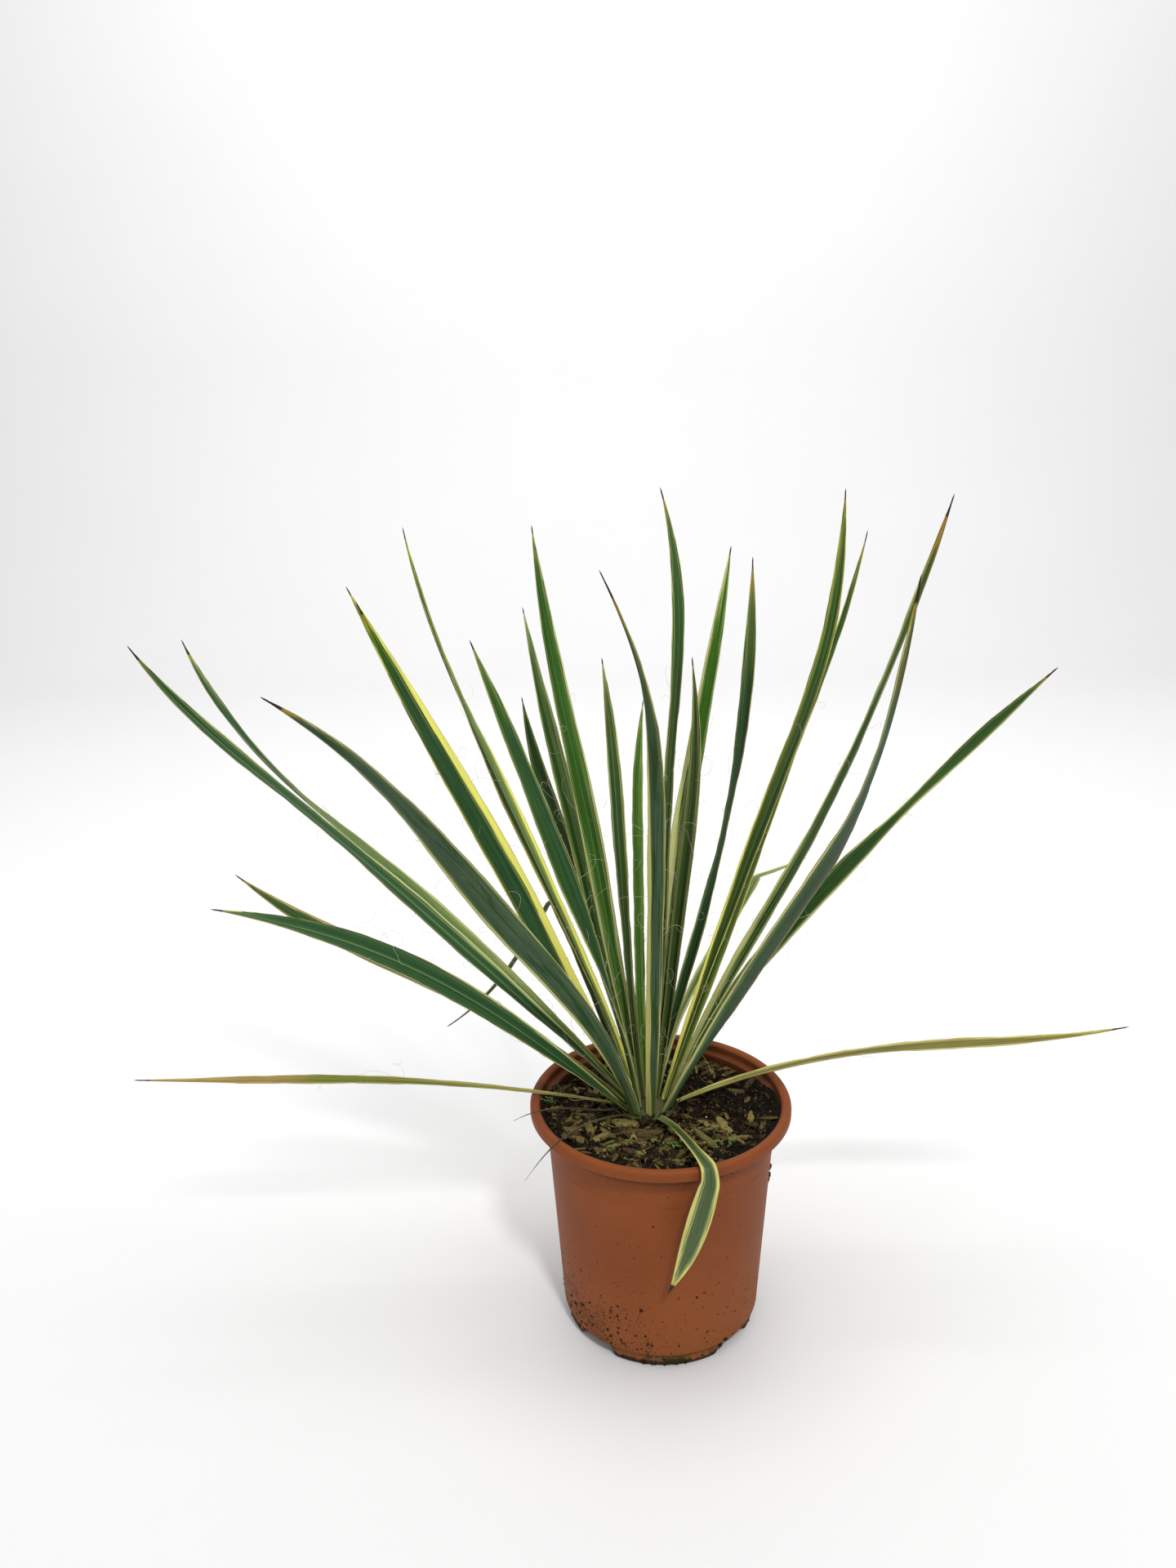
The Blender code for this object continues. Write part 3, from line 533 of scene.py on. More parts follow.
class Graph:
    """One material's node tree, with a Principled shader at its end."""

    def __init__(self, name: str) -> None:
        """Makes the material.

        Args:
            name: Name of the material.
        """
        self.material = bpy.data.materials.new(name)
        self.material.use_nodes = True
        self.tree = self.material.node_tree
        self.shader = self.tree.nodes["Principled BSDF"]

    def feed(self, socket: bpy.types.NodeSocket, value: object) -> None:
        """Links a Value to a socket, or sets the socket's own number or colour.

        Args:
            socket: The socket to fill.
            value: A Value, a number, or a tuple; three numbers for a colour get an alpha of 1.
        """
        if isinstance(value, Value):
            self.tree.links.new(value.socket, socket)
            return
        if isinstance(value, tuple) and socket.type == "RGBA" and len(value) == 3:
            value = (*value, 1.0)
        socket.default_value = value

    def node(
        self, kind: str, settings: dict | None = None, inputs: dict | None = None
    ) -> bpy.types.Node:
        """Adds any node.

        Args:
            kind: The node's type.
            settings: Its settings, set first; "stops" holds a ramp's (place, colour) pairs.
            inputs: Values or links by socket name or number.

        Returns:
            The new node.
        """
        made = self.tree.nodes.new(kind)
        for key, value in (settings or {}).items():
            if key == "stops":
                ramp = made.color_ramp
                while len(ramp.elements) < len(value):
                    ramp.elements.new(1.0)
                for element, (place, colour) in zip(ramp.elements, value):
                    element.position = place
                    element.color = (*colour, 1.0)
            else:
                setattr(made, key, value)
        for key, value in (inputs or {}).items():
            self.feed(made.inputs[key], value)
        return made

    def maths(self, operation: str, *values: Value | float) -> Value:
        """One Math node over the values."""
        made = self.node("ShaderNodeMath", {"operation": operation}, dict(enumerate(values)))
        return Value(self, made.outputs[0])

    def attribute(self, name: str, colour: bool = False) -> Value:
        """A mesh attribute, as a number or as a colour."""
        made = self.node("ShaderNodeAttribute", {"attribute_name": name})
        return Value(self, made.outputs[0 if colour else 2])

    def place(self) -> Value:
        """Object coordinates."""
        return Value(self, self.node("ShaderNodeTexCoord").outputs["Object"])

    def surface(self) -> Value:
        """The piece's own UV map, in metres over the surface."""
        return Value(self, self.node("ShaderNodeTexCoord").outputs["UV"])

    def parts(self, vector: Value) -> list[Value]:
        """The three numbers of a vector."""
        made = self.node("ShaderNodeSeparateXYZ", None, {0: vector})
        return [Value(self, socket) for socket in made.outputs]

    def stretched(self, vector: Value, scale: tuple[float, float, float]) -> Value:
        """The vector scaled along each axis."""
        made = self.node("ShaderNodeMapping", None, {"Vector": vector, "Scale": scale})
        return Value(self, made.outputs[0])

    def noise(self, vector: Value, scale: float, detail: float = 2.0, rough: float = 0.5) -> Value:
        """Fractal noise from 0 to 1."""
        inputs = {"Vector": vector, "Scale": scale, "Detail": detail, "Roughness": rough}
        return Value(self, self.node("ShaderNodeTexNoise", None, inputs).outputs[0])

    def cells(self, vector: Value, scale: float) -> tuple[Value, Value]:
        """Voronoi cells: distance from the nearest point, and the cell's own colour."""
        made = self.node("ShaderNodeTexVoronoi", None, {"Vector": vector, "Scale": scale})
        return Value(self, made.outputs[0]), Value(self, made.outputs[1])

    def ramp(self, value: Value, stops: tuple) -> Value:
        """A colour ramp over the value."""
        return Value(self, self.node("ShaderNodeValToRGB", {"stops": stops}, {0: value}).outputs[0])

    def blend(self, share: Value | float, low: object, high: object) -> Value:
        """Colour low where the share is 0 and high where it is 1."""
        inputs = {0: share, 6: low, 7: high}
        return Value(self, self.node("ShaderNodeMix", {"data_type": "RGBA"}, inputs).outputs[2])

    def streaks(
        self,
        vector: Value,
        scale: tuple[float, float, float],
        detail: float = 2.0,
        rough: float = 0.5,
    ) -> Value:
        """Noise drawn out along the axes with a low scale."""
        return self.noise(self.stretched(vector, scale), 1.0, detail, rough)

    def lit(self, colour: object, by: Value) -> Value:
        """The colour multiplied by a number."""
        made = self.node("ShaderNodeVectorMath", {"operation": "SCALE"}, {0: colour, 3: by})
        return Value(self, made.outputs[0])

    def finish(
        self,
        colour: object,
        roughness: Value | float,
        height: Value | None = None,
        depth: float = 0.0002,
        strength: float = 0.6,
        specular: float = 0.5,
    ) -> bpy.types.Material:
        """Feeds the shader.

        Args:
            colour: Base colour.
            roughness: Roughness.
            height: Bump height from 0 to 1, or None.
            depth: Height of the bump in metres.
            strength: Strength of the bump.
            specular: Specular level, the same all over.

        Returns:
            The material.
        """
        self.feed(self.shader.inputs["Base Color"], colour)
        self.feed(self.shader.inputs["Roughness"], roughness)
        self.shader.inputs["Specular IOR Level"].default_value = specular
        if height is not None:
            inputs = {"Height": height, "Distance": depth, "Strength": strength}
            bump = self.node("ShaderNodeBump", None, inputs)
            self.tree.links.new(bump.outputs[0], self.shader.inputs["Normal"])
        return self.material


# Meshes from whole arrays of points.


def smooth_step(share: np.ndarray | float) -> np.ndarray:
    """3s² - 2s³ of the share held between 0 and 1."""
    share = np.clip(share, 0.0, 1.0)
    return share * share * (3.0 - 2.0 * share)


def quads(rows: int, columns: int, closed: bool = False) -> np.ndarray:
    """Faces of a grid of points numbered row by row.

    Args:
        rows: Rows of points.
        columns: Points in a row.
        closed: Whether each row closes on itself.

    Returns:
        Four point numbers for each cell.
    """
    row, column = np.meshgrid(
        np.arange(rows - 1), np.arange(columns if closed else columns - 1), indexing="ij"
    )
    here, below = row * columns, (row + 1) * columns
    after = (column + 1) % columns
    corners = (here + column, here + after, below + after, below + column)
    return np.stack([corner.ravel() for corner in corners], axis=-1)


def triangles(faces: np.ndarray) -> np.ndarray:
    """Each quad as two triangles."""
    return np.concatenate([faces[:, [0, 1, 2]], faces[:, [0, 2, 3]]])


def closed_loft(rings: np.ndarray) -> tuple[np.ndarray, np.ndarray]:
    """A closed skin over rings of points, with a fan from the middle of each end ring.

    Args:
        rings: Points in mm, shaped (rings, points in a ring, 3).

    Returns:
        Points and triangles that face outwards.
    """
    count, around = rings.shape[:2]
    ends = np.stack([rings[0].mean(axis=0), rings[-1].mean(axis=0)])
    points = np.vstack([rings.reshape(-1, 3), ends])
    side = triangles(quads(count, around, closed=True))
    step = np.arange(around)
    after = (step + 1) % around
    first = np.stack([after, step, np.full(around, count * around)], axis=-1)
    base = (count - 1) * around
    last = np.stack([base + step, base + after, np.full(around, count * around + 1)], axis=-1)
    return points, outward(points, np.vstack([side, first, last]))


def outward(points: np.ndarray, faces: np.ndarray) -> np.ndarray:
    """Faces of a closed skin, turned over if the volume they enclose comes out negative."""
    a, b, c = (points[faces[:, index]] for index in range(3))
    volume = np.einsum("ij,ij->i", a, np.cross(b, c)).sum()
    return faces[:, ::-1] if volume < 0 else faces


def many_lofts(rings: np.ndarray) -> tuple[np.ndarray, np.ndarray]:
    """Closed skins over many sets of rings at once, all facing the way the first one does.

    Args:
        rings: Points in mm, shaped (shapes, rings, points in a ring, 3).

    Returns:
        Points and triangles of all the shapes.
    """
    shapes, count, around = rings.shape[:3]
    _, faces = closed_loft(rings[0])
    ends = rings[:, [0, -1]].mean(axis=2)
    points = np.concatenate([rings.reshape(shapes, -1, 3), ends], axis=1)
    each = count * around + 2
    numbers = faces[None] + each * np.arange(shapes)[:, None, None]
    return points.reshape(-1, 3), numbers.reshape(-1, 3)


@dataclass
class Skin:
    """Points in mm, faces, and what is painted on the points of one mesh."""

    points: np.ndarray
    faces: np.ndarray
    values: dict[str, np.ndarray] = field(default_factory=dict)
    colours: dict[str, np.ndarray] = field(default_factory=dict)
    flat: np.ndarray | None = None
    finish: np.ndarray | None = None

    def joined(self, other: "Skin", finish: int) -> "Skin":
        """This skin with another added in the material slot numbered finish.

        Args:
            other: The skin to add.
            finish: Its material slot.

        Returns:
            The two as one.
        """
        size, extra = len(self.points), len(other.points)
        mine = self.finish if self.finish is not None else np.zeros(len(self.faces), int)
        values = {
            key: np.concatenate([value, other.values.get(key, np.zeros(extra))])
            for key, value in self.values.items()
        }
        colours = {
            key: np.concatenate([value, other.colours.get(key, np.zeros((extra, 3)))])
            for key, value in self.colours.items()
        }
        flat = None
        if self.flat is not None:
            more = np.zeros((extra, 2)) if other.flat is None else other.flat
            flat = np.concatenate([self.flat, more])
        return Skin(
            np.vstack([self.points, other.points]),
            np.vstack([self.faces, other.faces + size]),
            values,
            colours,
            flat,
            np.concatenate([mine, np.full(len(other.faces), finish)]),
        )

    def build(
        self, name: str, materials: list[bpy.types.Material], sharp: float = 180.0
    ) -> bpy.types.Object:
        """Makes the object at the origin, in metres, shaded smooth.

        Args:
            name: The piece's name.
            materials: Its materials, in slot order.
            sharp: Angle in degrees past which an edge stays sharp.

        Returns:
            The object.
        """
        mesh = bpy.data.meshes.new(name)
        mesh.from_pydata((self.points * MM).tolist(), [], self.faces.tolist())
        for key, value in self.values.items():
            layer = mesh.attributes.new(key, "FLOAT", "POINT")
            layer.data.foreach_set("value", np.asarray(value, np.float32))
        for key, value in self.colours.items():
            layer = mesh.attributes.new(key, "FLOAT_COLOR", "POINT")
            full = np.concatenate([value, np.ones((len(value), 1))], axis=1)
            layer.data.foreach_set("color", full.astype(np.float32).ravel())
        if self.flat is not None:
            layer = mesh.uv_layers.new(name="UVMap")
            corners = self.flat[self.faces.ravel()]
            layer.data.foreach_set("uv", corners.astype(np.float32).ravel())
        for material in materials:
            mesh.materials.append(material)
        if self.finish is not None:
            mesh.polygons.foreach_set("material_index", self.finish.astype(np.int32))
        mesh.shade_smooth()
        if sharp < 180.0:
            mesh.set_sharp_from_angle(angle=math.radians(sharp))
        mesh.update()
        piece = bpy.data.objects.new(name, mesh)
        bpy.context.scene.collection.objects.link(piece)
        return piece


def settle(piece: bpy.types.Object, slot: Slot, *nodes: str) -> None:
    """Rides the piece on the one body and hides the CAD nodes it stands for.

    Args:
        piece: The finished piece.
        slot: The record's slot it takes its finish from; not used.
        *nodes: CAD nodes that it replaces.
    """
    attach(piece, BODY)
    if nodes:
        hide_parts(*nodes)
    LOG.info("%s: %d faces", piece.name, len(piece.data.polygons))


def tubes(paths: np.ndarray, radius: np.ndarray, sides: int = 3) -> tuple[np.ndarray, np.ndarray]:
    """Thin closed tubes along many paths at once.

    Each ring stands square to the path, its first arm level with the ground.

    Args:
        paths: Points in mm, shaped (paths, steps, 3).
        radius: Radii in mm, shaped (steps,) or (paths, steps).
        sides: Sides of a tube.

    Returns:
        Points and triangles.
    """
    along_path = np.gradient(paths, axis=1)
    along_path /= np.linalg.norm(along_path, axis=-1, keepdims=True) + 1e-9
    level = np.cross(along_path, np.array([0.02, 0.03, 1.0]))
    level /= np.linalg.norm(level, axis=-1, keepdims=True) + 1e-9
    other = np.cross(along_path, level)
    turn = math.tau * np.arange(sides) / sides
    reach = np.broadcast_to(radius, paths.shape[:2])[..., None, None]
    ring = level[:, :, None] * np.cos(turn)[:, None] + other[:, :, None] * np.sin(turn)[:, None]
    return many_lofts(paths[:, :, None] + reach * ring)


# Course and section of a blade, by the frame's own formulas.


def along(values: tuple[float, ...], share: np.ndarray) -> np.ndarray:
    """A cubic Hermite curve through evenly spaced values, its slopes their central differences.

    Args:
        values: Values at even steps.
        share: Where to read them, from 0 to 1.

    Returns:
        The curve's values.
    """
    points = np.asarray(values, dtype=float)
    spans = len(points) - 1
    place = np.clip(share * spans, 0.0, spans - 1e-9)
    index = place.astype(int)
    part = place - index
    slope = np.gradient(points)
    start = points[index] * (1 + 2 * part) * (1 - part) ** 2 + slope[index] * part * (1 - part) ** 2
    end = points[index + 1] * part**2 * (3 - 2 * part) + slope[index + 1] * part**2 * (part - 1)
    return start + end


@dataclass
class Course:
    """The centre line, directions and width of one blade."""

    leaf: Leaf

    def angles(self, share: np.ndarray) -> tuple[np.ndarray, np.ndarray, np.ndarray]:
        """Rise, heading and roll, each fold turned through smoothly over its length.

        Args:
            share: Shares of the length to read them at.

        Returns:
            The three angles in radians.
        """
        leaf = self.leaf
        rise = along(leaf.rise, share)
        heading = along(leaf.heading, share)
        roll = along(leaf.roll, share)
        for place, drop, turn, twist in leaf.folds:
            done = smooth_step((share - place) * leaf.length / FOLD_LENGTH + 0.5)
            rise = rise - drop * done
            heading = heading + turn * done
            roll = roll + twist * done
        return np.radians(rise), np.radians(heading), np.radians(roll)

    def line(self, share: np.ndarray, end: float, count: int, lift: float = 0.0) -> np.ndarray:
        """Centre line: the seat on the crown plus the sum of short steps along the direction.

        Args:
            share: Shares of the length to read it at.
            end: Share at which the steps end.
            count: Number of steps.
            lift: Height in mm added to the seat.

        Returns:
            Points in mm.
        """
        leaf = self.leaf
        radius = RINGS[leaf.ring][0]
        seat = math.radians(leaf.seat)
        steps = np.linspace(0.0, end, count + 1)
        rise, heading, _ = self.angles(0.5 * (steps[1:] + steps[:-1]))
        forward = np.stack(
            [np.cos(rise) * np.cos(heading), np.cos(rise) * np.sin(heading), np.sin(rise)], axis=-1
        )
        line = np.vstack([np.zeros(3), np.cumsum(forward, axis=0) * leaf.length * end / count])
        line += (CROWN_X + radius * math.cos(seat), CROWN_Y + radius * math.sin(seat), SOIL_LEVEL)
        line[:, 2] += lift
        return np.stack([np.interp(share, steps, line[:, axis]) for axis in range(3)], axis=-1)

    def path(self, share: np.ndarray) -> np.ndarray:
        """The centre line, lifted clear of the crown, in mm."""
        return self.line(share, 1.0, LINE_STEPS, self.lift())

    def directions(self, share: np.ndarray) -> tuple[np.ndarray, np.ndarray]:
        """Directions across the blade and out of its upper face, turned by the roll.

        Args:
            share: Shares of the length to read them at.

        Returns:
            The two unit vectors.
        """
        rise, heading, roll = self.angles(share)
        level = np.stack([-np.sin(heading), np.cos(heading), 0 * rise], axis=-1)
        lean = -np.sin(rise)
        upper = np.stack([lean * np.cos(heading), lean * np.sin(heading), np.cos(rise)], axis=-1)
        cosine = np.cos(roll)[:, None]
        sine = np.sin(roll)[:, None]
        return level * cosine + upper * sine, upper * cosine - level * sine

    def width(self, share: np.ndarray) -> np.ndarray:
        """Narrow at the clasping base, widest at the middle, then drawn out into the end spine.

        Args:
            share: Shares of the length to read it at.

        Returns:
            Widths in mm.
        """
        leaf = self.leaf
        base = min(RINGS[leaf.ring][1], max(0.5 * leaf.width, NARROWEST_FOOT))
        growth = np.clip(share / WIDEST_AT, 0.0, 1.0) ** GROWTH_POWER
        taper = np.clip((share - TAPER_FROM) / (1.0 - TAPER_FROM), 0.0, 1.0) ** TAPER_POWER
        return np.maximum((base + (leaf.width - base) * growth) * (1.0 - taper), SPINE_WIDTH)

    def lift(self) -> float:
        """Height that stands the frame's six-sided foot one gap clear of the crown and soil.

        Returns:
            The height in mm.
        """
        share = np.array(FOOT_SHARES)
        path = self.line(share, share[-1], FOOT_STEPS)
        width = self.width(share)
        channel = np.radians(along(CHANNEL_ANGLES, share))
        thick = np.interp(share, *FOOT_THICKNESS)
        reach = 0.5 * width * np.cos(channel)
        rim = 0.25 * width * np.sin(channel)
        edge = rim - FRAME_EDGE
        sides = ((-reach, edge), (0 * reach, -0.5 * thick - rim), (reach, edge))
        across, upper = self.directions(share)
        foot = np.concatenate([path + x[:, None] * across + y[:, None] * upper for x, y in sides])
        out = np.hypot(foot[:, 0] - CROWN_X, foot[:, 1] - CROWN_Y)
        dome = np.interp(out, *zip(*CROWN_DOME))
        ground = SOIL_LEVEL + np.where(out < CROWN_HOLE, dome, FOOT_CLEARANCE)
        return GAP + 0.1 - float(np.min(foot[:, 2] - ground))

    def stations(self) -> np.ndarray:
        """Even shares of the length, with closer ones through each fold and at the tip.

        Returns:
            The shares in rising order.
        """
        even = np.linspace(0.0, 1.0, BLADE_STATIONS)
        half = 0.5 * FOLD_LENGTH / self.leaf.length
        spread = half * np.linspace(-1.0, 1.0, FOLD_STATIONS)
        extra = [fold[0] + spread for fold in self.leaf.folds]
        return np.unique(np.concatenate([even, np.linspace(*TIP_STATIONS), *extra]).round(6))


@dataclass
class Blade:
    """One fine leaf: a channelled, faintly pleated blade with thin edges, and its loose hairs."""

    leaf: Leaf
    rng: np.random.Generator
    hair_steps: int = 18
    hair_radius: tuple[tuple[float, ...], ...] = ((0.0, 0.7, 1.0), (0.11, 0.09, 0.05))
    hair_places: Span = (0.1, 0.72)
    hair_length: Span = (7.0, 34.0)
    hair_curl: Span = (1.5, 7.0)
    hair_sway: Span = (0.3, 1.2)
    hair_heading: Span = (0.2, 1.3)
    hair_drift: float = 0.45

    def wobble(self, share: np.ndarray, size: float, waves: float) -> np.ndarray:
        """Three sines of seeded phase along the blade, the faster ones smaller.

        Args:
            share: Shares of the length to read them at.
            size: Height of the slowest sine.
            waves: Its waves along the blade.

        Returns:
            The sum of the sines.
        """
        phase = self.rng.uniform(0.0, math.tau, 3)
        pace = waves * np.array([1.0, 2.3, 4.1])
        parts = np.sin(math.tau * np.outer(share, pace) + phase) / np.array([1.0, 2.0, 3.2])
        return size * parts.sum(axis=1)

    def skin(self) -> Skin:
        """The blade's closed skin with its paint.

        At each station the points run from the minus edge to the plus edge over the upper
        face and back below. With u from -1 to 1 across, a point lies reach times u aside and
        lift times (2g - 1) up, where g is the rounded V (sqrt(u² + k²) - k) scaled to 0..1,
        plus a cosine pleat and half the thickness, which falls from the keel to the edges.

        Returns:
            The skin.
        """
        leaf = self.leaf
        course = Course(leaf)
        share = course.stations()
        width = course.width(share) * along(leaf.dress.slim, share)
        width = width * (1.0 + self.wobble(share, WIDTH_WOBBLE, 2.0))
        point = np.clip((1.0 - share) * leaf.length / POINT_LENGTH, 0.0, 1.0)
        needle = np.clip((1.0 - share) * leaf.length / NEEDLE_LENGTH, 0.0, 1.0)
        width = width * (0.82 + 0.18 * point**0.6) * (0.3 + 0.7 * needle)
        channel = np.radians(along(leaf.dress.channel, share))
        reach = (0.5 * width * np.cos(channel))[:, None]
        lift = (0.25 * width * np.sin(channel))[:, None]

        # Columns stand closer together towards the edges than in the middle.
        even = np.linspace(-1.0, 1.0, BLADE_COLUMNS)
        u = np.sin(0.5 * math.pi * even) * 0.35 + np.linspace(-0.65, 0.65, BLADE_COLUMNS)
        rounded = (np.sqrt(u * u + KEEL_ROUNDING**2) - KEEL_ROUNDING) / (
            math.sqrt(1.0 + KEEL_ROUNDING**2) - KEEL_ROUNDING
        )
        pleats = max(round(leaf.width / PLEAT_PITCH), 2)
        pleat = PLEAT_DEPTH * np.cos(math.pi * pleats * u) * (1.0 - u**4)
        fade = smooth_step(width / leaf.width)[:, None]
        keel = np.minimum(np.interp(share, *FINE_KEEL), 0.55 * width)[:, None]
        edge = np.minimum(EDGE_THICKNESS, 0.4 * width)[:, None]
        half = 0.5 * (edge + (keel - edge) * (1.0 - np.abs(u)) ** 1.3)
        ruffle_plus = self.wobble(share, EDGE_WOBBLE, 7.0)[:, None]
        ruffle_minus = self.wobble(share, EDGE_WOBBLE, 6.0)[:, None]
        ruffle = (np.where(u > 0, ruffle_plus, ruffle_minus) * np.abs(u) ** 3) * fade
        middle = lift * (2.0 * rounded - 1.0) + pleat * fade + ruffle

        across, upper = course.directions(share)
        centre = course.path(share)[:, None] + (reach * u)[..., None] * across[:, None]
        over = centre + (middle + half)[..., None] * upper[:, None]
        under = centre + (middle - half)[..., None] * upper[:, None]
        points, faces = closed_loft(np.concatenate([over, under[:, ::-1]], axis=1))
        return self.painted(points, faces, share, width, np.concatenate([u, u[::-1]]))

    def painted(
        self,
        points: np.ndarray,
        faces: np.ndarray,
        share: np.ndarray,
        width: np.ndarray,
        u: np.ndarray,
    ) -> Skin:
        """Adds the signed distances in mm and the colours that the leaf finish reads.

        past_margin is positive inside a variegated margin: u times half the width, less the
        half width, plus the margin's own width. withered and scorched are positive past the
        line where the tip turns brown or orange.

        Args:
            points: Points of the closed loft, its two end centres last.
            faces: Its triangles.
            share: Stations along the blade.
            width: Width at each station.
            u: Place across, for each point of a ring.

        Returns:
            The painted skin.
        """
        leaf, dress = self.leaf, self.leaf.dress
        half = 0.5 * width[:, None]
        sway = self.wobble(share, 0.16, 1.7)
        plus = (along(dress.plus, share) * (1.0 + sway))[:, None]
        minus = (along(dress.minus, share) * (1.0 - sway))[:, None]
        past = np.abs(u) * half - half + np.where(u > 0, plus, minus)
        columns = len(u)
        ones = np.ones((len(share), columns))
        from_tip = ((1.0 - share) * leaf.length)[:, None] * ones
        from_foot = (share * leaf.length)[:, None] * ones
        upper = np.where(np.arange(columns) < columns // 2, 1.0, 0.0) * ones

        def full(grid: np.ndarray) -> np.ndarray:
            """A grid's values with those of the two end centres."""
            return np.concatenate([grid.ravel(), grid[[0, -1]].mean(axis=1)])

        size = len(points)
        values = {
            "past_margin": full(past),
            "withered": full(dress.spine - from_tip),
            "scorched": full(dress.spine + dress.scorch * (0.35 + 0.65 * u**2) - from_tip),
            "from_foot": full(from_foot),
            "across": full(u * ones),
            "upper": full(upper),
            "midline": np.full(size, dress.midline),
            "stripes": np.full(size, dress.stripes),
            "bloom": np.full(size, 1.0 if dress.tone is Tone.GREY else 0.3),
        }
        # Minus half in the other tone: partly own colour, partly painted shade of the channel.
        side = full(smooth_step(0.5 - 5.0 * u) * ones)[:, None]
        tone = np.array(dress.tone.value)
        green = tone + side * (np.array((dress.other or dress.tone).value) - tone)
        if dress.far:
            far = smooth_step((share - dress.far_from) / 0.08 + 0.5)[:, None]
            green = green + full(far * ones)[:, None] * (np.array(dress.far.value) - green)
        colours = {
            "green_tint": green * self.rng.uniform(0.95, 1.05),
            "margin_tint": np.broadcast_to(np.array(dress.edge.value), (size, 3)),
        }
        shift = self.rng.uniform(0.1, 0.9)
        flat = np.stack([full(shift + u * half * MM), full(from_foot * MM)], axis=-1)
        return Skin(points, faces, values, colours, flat)

    def hairs(self) -> Skin | None:
        """Loose white threads that peel off the margins and curl.

        A thread's heading in the plane of the outward and forward directions grows evenly
        with a sine on top, so it curls, and it drifts off that plane by a slower sine.

        Returns:
            The threads, or None for a blade without any.
        """
        leaf, rng = self.leaf, self.rng
        count = leaf.dress.hairs
        if not count:
            return None
        course = Course(leaf)
        share = np.sort(rng.uniform(*self.hair_places, count))
        side = rng.choice([-1.0, 1.0], count)
        across, upper = course.directions(share)
        width = course.width(share) * along(leaf.dress.slim, share)
        channel = np.radians(along(leaf.dress.channel, share))
        start = course.path(share)
        start = start + (side * 0.5 * width * np.cos(channel))[:, None] * across
        start = start + (0.25 * width * np.sin(channel))[:, None] * upper
        forward = np.cross(across, upper)
        length = rng.uniform(*self.hair_length, count)
        t = np.linspace(0.0, 1.0, self.hair_steps)
        curl = rng.uniform(*self.hair_curl, count) * rng.choice([-1.0, 1.0], count)
        sway = rng.uniform(*self.hair_sway, count)
        phase = rng.uniform(0.0, math.tau, count)[:, None]
        first = rng.uniform(*self.hair_heading, count)
        angle = first[:, None] + curl[:, None] * t**1.4 + sway[:, None] * np.sin(5.0 * t + phase)
        drift = self.hair_drift * np.sin(3.0 * t + 2.0 * phase)
        out = side[:, None] * across
        step = (
            np.cos(angle)[..., None] * out[:, None]
            + np.sin(angle)[..., None] * forward[:, None]
            + drift[..., None] * upper[:, None]
        )
        step *= (length / (self.hair_steps - 1))[:, None, None]
        paths = start[:, None] + np.cumsum(step, axis=1) - step[:, :1]
        return Skin(*tubes(paths, np.interp(t, *self.hair_radius)))


